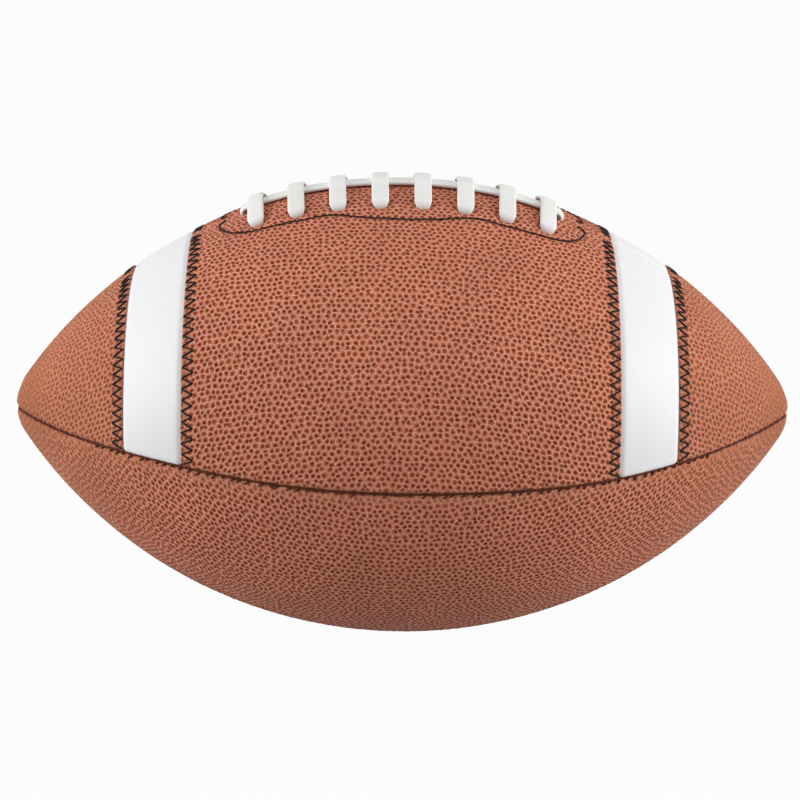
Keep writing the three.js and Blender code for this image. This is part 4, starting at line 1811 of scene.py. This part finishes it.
@dataclass
class Threads:
    """Sewing threads: in the seams, beside the stripes and round the lace holes."""

    ball: BallShape
    cover: Cover
    finishes: Finishes
    sides: int = 8  # of a thread's section
    leg_parts: int = 8  # of a stitch
    radius: float = 0.3  # of the zigzag thread
    zigzag_depths: Pair = (0.04, 0.5)  # in the middle of a stitch and in a needle hole
    zigzag_stray: float = 0.35  # length over which a point of the zigzag may lie
    line_radius: float = 0.28  # of the thread round the lace holes
    line_depths: Pair = (-0.02, 0.7)  # in the middle of a stitch and in a needle hole
    line_pitch: float = 2.8  # length of a stitch
    line_stray: float = 0.3  # width over which a needle hole may lie
    seam_thread: Pair = (0.5, 0.7)  # radius and least depth of the dark thread down in a seam, which also stands in for the groove's shade
    top_thread: Pair = (0.4, 1.3)  # the same in the top seam
    seam_sway: float = 0.6  # how much deeper it may lie
    seam_step: float = 2.0  # between its points
    seam_margin: float = 6.0  # from its end to the end of a panel
    lips_end: float = 120.0  # run past which no stitches show on the lip of a seam
    lip_radius: float = 0.34  # of those stitches
    lip_reach: float = 1.8  # of the tightest over the lip
    lip_slant: float = 0.5  # length along the seam that a stitch has besides its reach
    lip_points: int = 6  # of a stitch
    lip_depth: float = 1.5  # of its start
    lip_rise: float = 1.2  # from there to its highest point
    lip_arch: float = 0.78  # share of a half wave that it goes through

    LINE_DRAW = 5.0  # salt of the draw of the needle holes round the lace holes
    DEPTH_DRAW = 7.0  # salt of the draw of a seam thread's depth
    SIDE_DRAW = 3.0  # sets the salts of the zigzags of the two sides apart

    def add_thread(self, draft: Draft, run: Array, angle: Array, depth: Array, radius: float) -> None:
        """Adds one length of thread: a round section along its way.

        Args:
            draft: Mesh to add to.
            run: Run of each point of its way.
            angle: Angle of each point.
            depth: Depth of each point.
            radius: Radius of the thread.
        """
        path = self.ball.place(run, angle, depth)
        along = unit(np.gradient(path, axis=0))
        wide = unit(np.cross(along, self.ball.outward(run, angle)))
        thick = np.cross(wide, along)
        add_sweep(draft, path, wide * radius, thick * radius, circle(self.sides), 1.0)

    def stitched(self, name: str, needle: Array, depths: Pair, radius: float) -> None:
        """Builds a thread through needle holes, straight from hole to hole.

        Each stitch is flat and drops at its ends with the sixth power of the distance from its
        middle.

        Args:
            name: Name of the piece.
            needle: (n, 2) runs and angles of the holes.
            depths: Depth in the middle of a stitch, and in a hole.
            radius: Radius of the thread.
        """
        high, low = depths
        share = np.arange(self.leg_parts) / self.leg_parts
        legs = needle[:-1, None] + share[None, :, None] * (needle[1:] - needle[:-1])[:, None]
        places = np.vstack([legs.reshape(-1, 2), needle[-1:]])
        drop = high + (low - high) * np.abs(2 * share - 1) ** 6
        depth = np.append(np.tile(drop, len(needle) - 1), low)
        draft = Draft()
        self.add_thread(draft, places[:, 0], places[:, 1], depth, radius)
        register(draft.piece(name), self.finishes.thread, Slot.DARK_CLOTH)

    def zigzag(self, side: Side, end: End, edge: StripeEdge) -> None:
        """Zigzag on the brown leather beside a stripe's edge.

        Args:
            side: Side of the lacing.
            end: End of the ball.
            edge: Edge of the stripe.
        """
        ball = self.ball
        off = ball.stripe_out if edge is StripeEdge.OUTER else ball.stripe_in
        length = QUARTER * float(ball.girth(off))
        along, offset = self.cover.zigzag.points(length)
        draw = side.value * self.SIDE_DRAW + end.value
        stray = self.zigzag_stray * (chance(np.arange(len(along)), off, draw) - 0.5)
        run = end.value * (off + edge.value * (offset + stray)) + ball.middle
        needle = np.stack([run, side.value * QUARTER * along / length], -1)
        name = f"zigzag_thread_{side.word}_{end.word}_{edge.word}"
        self.stitched(name, needle, self.zigzag_depths, self.radius)

    def seam(self, name: str, seam: Seam, low: float, high: float) -> None:
        """Thread of a seam: one run down in the groove, a dark cord that also stands in for the groove's
        shade, and short stitches over the far lip.

        The stitches, which the top seam doesn't show, go over the lip along part of a sine.

        Args:
            name: Name of the piece.
            seam: The seam.
            low: Run at which it starts.
            high: Run at which it ends.
        """
        sewing, top = self.cover.sewing, seam is Seam.TOP
        draft = Draft()
        runs = np.linspace(low, high, round((high - low) / self.seam_step))
        radius, least = self.top_thread if top else self.seam_thread
        depth = least + self.seam_sway * chance(np.arange(len(runs)), seam.value, self.DEPTH_DRAW)
        # painted shade in part: the dark run fills the bottom of the groove
        self.add_thread(draft, runs, np.full(runs.shape, seam.angle), depth, radius)
        number = np.arange(math.ceil(low / sewing.pitch), math.floor(high / sewing.pitch) + 1)
        run, pull = sewing.station(number, seam)
        shown = np.abs(run) < (0.0 if top else self.lips_end)
        share = np.linspace(0.0, 1.0, self.lip_points)
        depth = self.lip_depth - self.lip_rise * np.sin(self.lip_arch * math.pi * share)
        for place, reach in zip(run[shown], self.lip_reach * pull[shown]):
            slant = place - (self.lip_slant + reach) * (share - 0.5)
            angle = seam.angle + reach * share / self.ball.girth(slant)
            self.add_thread(draft, slant, angle, depth, self.lip_radius)
        register(draft.piece(name), self.finishes.seam_thread, Slot.DARK_CLOTH)

    def line(self, side: Side) -> None:
        """Stitched line round the lace holes, with needle holes at even distances along it.

        Args:
            side: Side of the lacing.
        """
        way = self.cover.lacing.stitch_line(side)
        along = np.append(0.0, np.cumsum(np.hypot(*np.diff(way, axis=0).T)))
        marks = np.linspace(0.0, along[-1], round(along[-1] / self.line_pitch) + 1)
        run, arc = (np.interp(marks, along, column) for column in way.T)
        arc = arc + self.line_stray * (chance(np.arange(len(arc)), side.value, self.LINE_DRAW) - 0.5)
        needle = np.stack([run, arc / self.ball.girth(run)], -1)
        self.stitched(f"lace_stitch_thread_{side.word}", needle, self.line_depths, self.line_radius)

    def build(self) -> None:
        """Builds every thread."""
        for side in Side:
            for end in End:
                for edge in StripeEdge:
                    self.zigzag(side, end, edge)
            self.line(side)
        reach = self.cover.panel_end - self.seam_margin
        for seam in (Seam.FRONT, Seam.BOTTOM, Seam.BACK):
            self.seam(f"seam_thread_{seam.word}", seam, -reach, reach)
        plan = self.cover.lacing
        lace_end = plan.rail_end + plan.hole_radius
        self.seam("seam_thread_top_left", Seam.TOP, -reach, plan.middle - lace_end)
        self.seam("seam_thread_top_right", Seam.TOP, plan.middle + lace_end, reach)


# Inside the ball


@dataclass
class Inside:
    """Linings, facings, guard, bladder and valve."""

    ball: BallShape
    plan: LacePlan
    valve: ValvePlan
    finishes: Finishes
    lining_top: float = 3.0  # depth of the lining's outer face
    lining: float = 0.7  # its thickness
    lining_tip: float = 6.0  # radius left open at a tip
    lining_grid: tuple[int, int] = (90, 30)  # rows and columns
    trim: float = 2.3  # how far the lining stays from a seam
    gap: float = 0.3  # between a lining and a facing
    facing: float = 1.0  # thickness of the facing behind the lace holes
    facing_grid: tuple[int, int] = (70, 14)
    margin: float = 10.5  # facing beyond the lace holes
    guard_top: float = 7.24  # depth of the guard
    guard: float = 0.8  # its thickness
    guard_reach: float = 18.6  # its half width
    guard_cols: int = 24
    bladder_top: float = 5.05  # depth of the bladder
    bladder_tip: float = 3.0  # distance from its end to a tip of the ball
    bladder_grid: tuple[int, int] = (80, 96)
    rubber: float = 0.7  # thickness of its skin
    well: float = 4.05  # how far it gives way under the lacing
    well_share: float = 1.25  # half width of the flat of that well, in half widths of the guard
    well_past: float = 10.0  # length of that flat past the facings
    peg_depth: float = 12.0  # to which the tool for the valve's hole goes
    valve_outline: Pairs = (
        # radius and depth round half of the valve
        (0.0, 13.6), (2.2, 13.6), (2.8, 13.0), (2.8, 8.6), (6.8, 8.6), (7.0, 8.3), (6.8, 8.0),
        (2.8, 8.0), (2.8, 0.9), (2.4, 0.35), (1.0, 0.3), (0.6, 0.6), (0.6, 8.0), (0.0, 8.0),
    )
    valve_sides: int = 40
    valve_sharp: float = 40.0  # degrees between faces from which its edges are shown sharp

    @property
    def facing_end(self) -> float:
        """Distance from the middle of the lacing to the end of a facing."""
        return self.plan.rail_end + self.margin

    def patch(self, name: str, runs: Array, angle: Array, top: float, thick: float) -> BlenderObject:
        """Closed sheet of even thickness.

        Args:
            name: Name of the piece.
            runs: Rows of its grid.
            angle: (R, C) angles.
            top: Depth of its outer face.
            thick: Its thickness.

        Returns:
            The piece.
        """
        run = np.broadcast_to(runs[:, None], angle.shape)
        rows, cols = (np.arange(count) for count in run.shape)
        outer, inner = (self.ball.place(run, angle, depth) for depth in (top, top + thick))
        surface = np.stack([run, angle * self.ball.girth(run)], -1)
        return closed_sheet(name, outer, inner, rows, cols, surface)

    def linings(self) -> None:
        """Builds the four linings: bands between two seams, cut back from the lace facing."""
        end, (rows, cols) = self.ball.run_at_tip(self.lining_tip), self.lining_grid
        runs = np.linspace(-end, end, rows)
        girth = self.ball.girth(runs)
        reach = self.plan.reach + self.margin
        slant_end = self.facing_end + self.gap + reach
        slant = np.minimum(reach, slant_end - np.abs(runs - self.plan.middle)) + self.gap
        share = np.linspace(0.0, 1.0, cols)[None]
        far = QUARTER - self.trim / girth
        for side in Side:
            for level in Level:
                upper = level is Level.UPPER
                near = np.maximum(self.trim, slant) / girth if upper else self.trim / girth
                offset = side.value * (near[:, None] + (far - near)[:, None] * share)
                angle = np.sort(offset if upper else 2 * QUARTER - offset, axis=1)
                name = f"lining_{level.word}_{side.word}"
                piece = self.patch(f"{name}_cloth", runs, angle, self.lining_top, self.lining)
                if upper and side is Side.BACK:
                    cut_away(piece, self.valve.peg(self.ball, self.peg_depth).piece("valve_tool"))
                register(piece, self.finishes.lining, Slot.LINING, name)

    def facings(self) -> None:
        """Builds the facing behind each row of holes, and the guard below the lace."""
        rows, cols = self.facing_grid
        runs = np.linspace(-self.facing_end, self.facing_end, rows) + self.plan.middle
        girth = self.ball.girth(runs)[:, None]
        for side in Side:
            arcs = np.sort(side.value * np.linspace(self.trim, self.plan.reach + self.margin, cols))
            name = f"lace_facing_{side.word}"
            piece = self.patch(f"{name}_cloth", runs, arcs[None] / girth, self.lining_top, self.facing)
            cut_away(piece, joined(self.plan.pegs(self.ball, side)).piece("facing_tool"))
            register(piece, self.finishes.dark_cloth, Slot.DARK_CLOTH, name)
        angle = np.linspace(-self.guard_reach, self.guard_reach, self.guard_cols)[None] / girth
        guard = self.patch("lace_guard_cloth", runs, angle, self.guard_top, self.guard)
        register(guard, self.finishes.dark_cloth, Slot.DARK_CLOTH, "lace_guard")

    def bladder_depth(self, run: Array, angle: Array) -> Array:
        """Depth of the bladder: deeper in a well under the lacing, with sloping sides.

        Args:
            run: Along the leather.
            angle: Round the ball.

        Returns:
            The depth, with the well fading over one reach of the guard past its flat.
        """
        past = np.abs(from_lacing(angle) * self.ball.girth(run)) - self.well_share * self.guard_reach
        beyond = np.abs(run - self.plan.middle) - self.facing_end - self.well_past
        around, along = (np.clip(1 - far / self.guard_reach, 0.0, 1.0) for far in (past, beyond))
        return self.bladder_top + self.well * around * along

    def bladder(self) -> None:
        """Builds the bladder: two closed skins, each rows round the ball with a cap at each tip."""
        end, (rows, cols) = self.ball.half_run - self.bladder_tip, self.bladder_grid
        run = np.linspace(-end, end, rows)[:, None]
        angle = np.linspace(0, 2 * math.pi, cols, endpoint=False)[None]
        depth = self.bladder_depth(run, angle)
        draft = Draft()
        add_tube(draft, self.ball.place(run, angle, depth), 1)
        add_tube(draft, self.ball.place(run, angle, depth + self.rubber), -1)
        piece = draft.piece("bladder_skin")
        cut_away(piece, self.valve.peg(self.ball, self.peg_depth).piece("bladder_tool"))
        register(piece, self.finishes.rubber, Slot.RUBBER, "bladder")

    def valve_body(self) -> None:
        """Builds the valve: its half outline turned round the outward direction."""
        out = self.ball.outward(0.0, self.valve.angle)
        centre = self.ball.place(0.0, self.valve.angle, 0.0)
        along = np.array([1.0, 0.0, 0.0])
        turn = circle(self.valve_sides)
        ring = turn[:, :1] * along + turn[:, 1:] * np.cross(out, along)
        outline = np.array(self.valve_outline)[1:-1, None]
        draft = Draft()
        add_tube(draft, centre + outline[..., :1] * ring[None] - outline[..., 1:] * out, 1)
        piece = draft.piece("valve_rubber", sharp=self.valve_sharp)
        register(piece, self.finishes.rubber, Slot.RUBBER, "valve")

    def build(self) -> None:
        """Builds every piece inside the ball."""
        self.linings()
        self.facings()
        self.bladder()
        self.valve_body()


# Studio


@dataclass(frozen=True)
class Lamp:
    """A soft rectangular lamp."""

    name: str
    place: tuple[float, float, float]  # in metres
    size: Pair  # width and height, in metres
    power: float  # in watts


@dataclass
class Studio:
    """Floor, lights, white surround and camera."""

    distance: float = 0.91268  # from the camera to the middle of the ball, in metres
    elevation: float = 21.38  # height of the view, in degrees
    azimuth: float = -0.693  # turn of the view round the ball, in degrees
    roll: float = 0.732  # turn of the camera about its own axis, in degrees
    lens: float = 109.863  # focal length, in millimetres
    sensor: float = 36.0  # width of the sensor, in millimetres
    shift: Pair = (-0.00362, 0.00776)  # of the frame
    clip_end: float = 50.0  # farthest that the camera sees, in metres
    ambient: float = 0.1  # strength of the surround as a light
    floor_radius: float = 5.0  # in metres
    floor_grid: tuple[int, int] = (14, 64)  # rings and points in a ring
    floor_eye: float = 0.01  # root of the share of the radius at which the rings start
    floor_paint: float = 0.36  # grey of the floor as it takes light
    floor_glow: float = 0.965  # share of plain white that the eye sees of it
    lamps: tuple[Lamp, ...] = (
        Lamp("left_box", (-1.05, -0.25, 0.36), (0.7, 0.8), 9.4),
        Lamp("right_box", (1.05, -0.25, 0.36), (0.7, 0.8), 10.1),
        Lamp("top_box", (0.0, 0.1, 1.3), (1.0, 0.8), 4.6),
        Lamp("front_box", (0.0, -1.1, 0.6), (1.0, 0.6), 1.4),
    )

    @staticmethod
    def put(name: str, data: bpy.types.ID, axes: Sequence[Array], place: Array) -> BlenderObject:
        """Puts a camera or a lamp in the scene.

        Args:
            name: Name of the object.
            data: The camera or light.
            axes: Unit vectors to its right, upward and back.
            place: Its place, in metres.

        Returns:
            The object.
        """
        made = bpy.data.objects.new(name, data)
        pose = np.eye(4)
        pose[:3] = np.stack([*axes, place], -1)
        made.matrix_world = Matrix(pose.tolist())
        bpy.context.scene.collection.objects.link(made)
        return made

    def camera(self, centre: Array) -> None:
        """Places the camera: back from the middle of the ball along the view, then rolled.

        Args:
            centre: Middle of the ball, in metres.
        """
        turn, rise, roll = (math.radians(v) for v in (self.azimuth, self.elevation, self.roll))
        right = np.array([math.cos(turn), math.sin(turn), 0.0])
        level = np.array([math.sin(turn), -math.cos(turn), 0.0])
        back = math.cos(rise) * level + math.sin(rise) * np.array([0.0, 0.0, 1.0])
        up = np.cross(back, right)
        across = math.cos(roll) * right + math.sin(roll) * up
        upward = math.cos(roll) * up - math.sin(roll) * right
        data = bpy.data.cameras.new("camera")
        data.lens = self.lens
        data.sensor_width = self.sensor
        data.shift_x, data.shift_y = self.shift
        data.clip_end = self.clip_end
        place = centre + self.distance * back
        bpy.context.scene.camera = self.put("camera", data, (across, upward, back), place)

    def light(self, lamp: Lamp, aim: Array) -> None:
        """Puts up a lamp that isn't seen itself.

        Args:
            lamp: The lamp.
            aim: The point that it faces, in metres.
        """
        data = bpy.data.lights.new(lamp.name, "AREA")
        data.shape = "RECTANGLE"
        data.size, data.size_y = lamp.size
        data.energy = lamp.power
        place = np.array(lamp.place)
        back = unit(place - aim)
        nudge = [1e-6, 0.0, 0.0]
        right = unit(np.cross([0.0, 0.0, 1.0], back) + nudge)
        made = self.put(lamp.name, data, (right, np.cross(back, right), back), place)
        made.visible_camera = False

    def seen_by_eye(self, graph: Graph) -> Socket:
        """Tells what is seen from what gives light.

        Args:
            graph: Graph to add to.

        Returns:
            1 for rays that show a surface to the eye or in a gloss or glass, 0 for those that light.
        """
        path = graph.node("LightPath")
        shown = graph.maths("MAXIMUM", path.outputs["Is Camera Ray"], path.outputs["Is Glossy Ray"])
        return graph.maths("MAXIMUM", shown, path.outputs["Is Transmission Ray"])

    def surround(self) -> None:
        """Makes the world: white to the eye, and a weaker even light."""
        world = bpy.data.worlds.new("surround")
        world.use_nodes = True
        graph = Graph(world.node_tree)
        strength = graph.range(self.seen_by_eye(graph), 0.0, 1.0, self.ambient, 1.0)
        light = graph.node("Background", {"Color": (1.0, 1.0, 1.0, 1.0), "Strength": strength})
        graph.node("OutputWorld", {"Surface": light.outputs[0]})
        bpy.context.scene.world = world

    def floor(self) -> None:
        """Makes the floor: rings of points out to its radius, white to the eye but for the shadow."""
        rings, cols = self.floor_grid
        radius = (self.floor_radius / MM) * np.linspace(self.floor_eye, 1.0, rings)[:, None, None] ** 2
        draft = Draft()
        draft.add_points(radius * np.append(circle(cols), np.zeros((cols, 1)), 1))
        draft.add_faces(grid_faces(rings, cols, wrap=True)[0][:, ::-1])
        draft.add_faces(np.arange(cols)[None])
        floor = draft.piece("floor")
        graph = Paint("pale_floor")
        paint = graph.node("BsdfDiffuse", {"Color": (*[self.floor_paint] * 3, 1.0)})
        glow = graph.node("Emission", {"Strength": 1.0})
        share = graph.maths("MULTIPLY", self.seen_by_eye(graph), self.floor_glow)
        both = graph.node("MixShader", {0: share, 1: paint.outputs[0], 2: glow.outputs[0]})
        graph.node("OutputMaterial", {"Surface": both.outputs[0]})
        floor.data.materials.append(graph.material)
        floor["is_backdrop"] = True

    def build(self, ball: BallShape) -> None:
        """Sets up the view and the light.

        Args:
            ball: The ball, whose middle is looked at.
        """
        bpy.context.scene.view_settings.view_transform = "Standard"
        centre = np.array([0.0, 0.0, ball.radius * MM])
        self.camera(centre)
        self.surround()
        self.floor()
        for lamp in self.lamps:
            self.light(lamp, centre)


def write_sizes() -> None:
    """Works out the box of the solids and the box of what is shown, as plain lists."""
    boxes = {"cad": CAD_BOX, "visual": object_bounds()}
    plain = {key: [list(corner) for corner in box] for key, box in boxes.items()}


def main() -> None:
    """Builds the studio and the ball."""
    logging.basicConfig(level=logging.INFO, format="%(message)s")
    ball, grain, valve = BallShape(), Grain(), ValvePlan()
    plan = LacePlan(middle=ball.middle)
    Studio().build(ball)
    finishes = Finishes(grain)
    cover = Cover(ball, grain, SeamSewing(), ZigzagSewing(), plan, valve, finishes)
    cover.build()
    Lacing(ball, plan, finishes).build()
    Threads(ball, cover, finishes).build()
    Inside(ball, plan, valve, finishes).build()
    write_sizes()


if __name__ == "__main__":
    main()
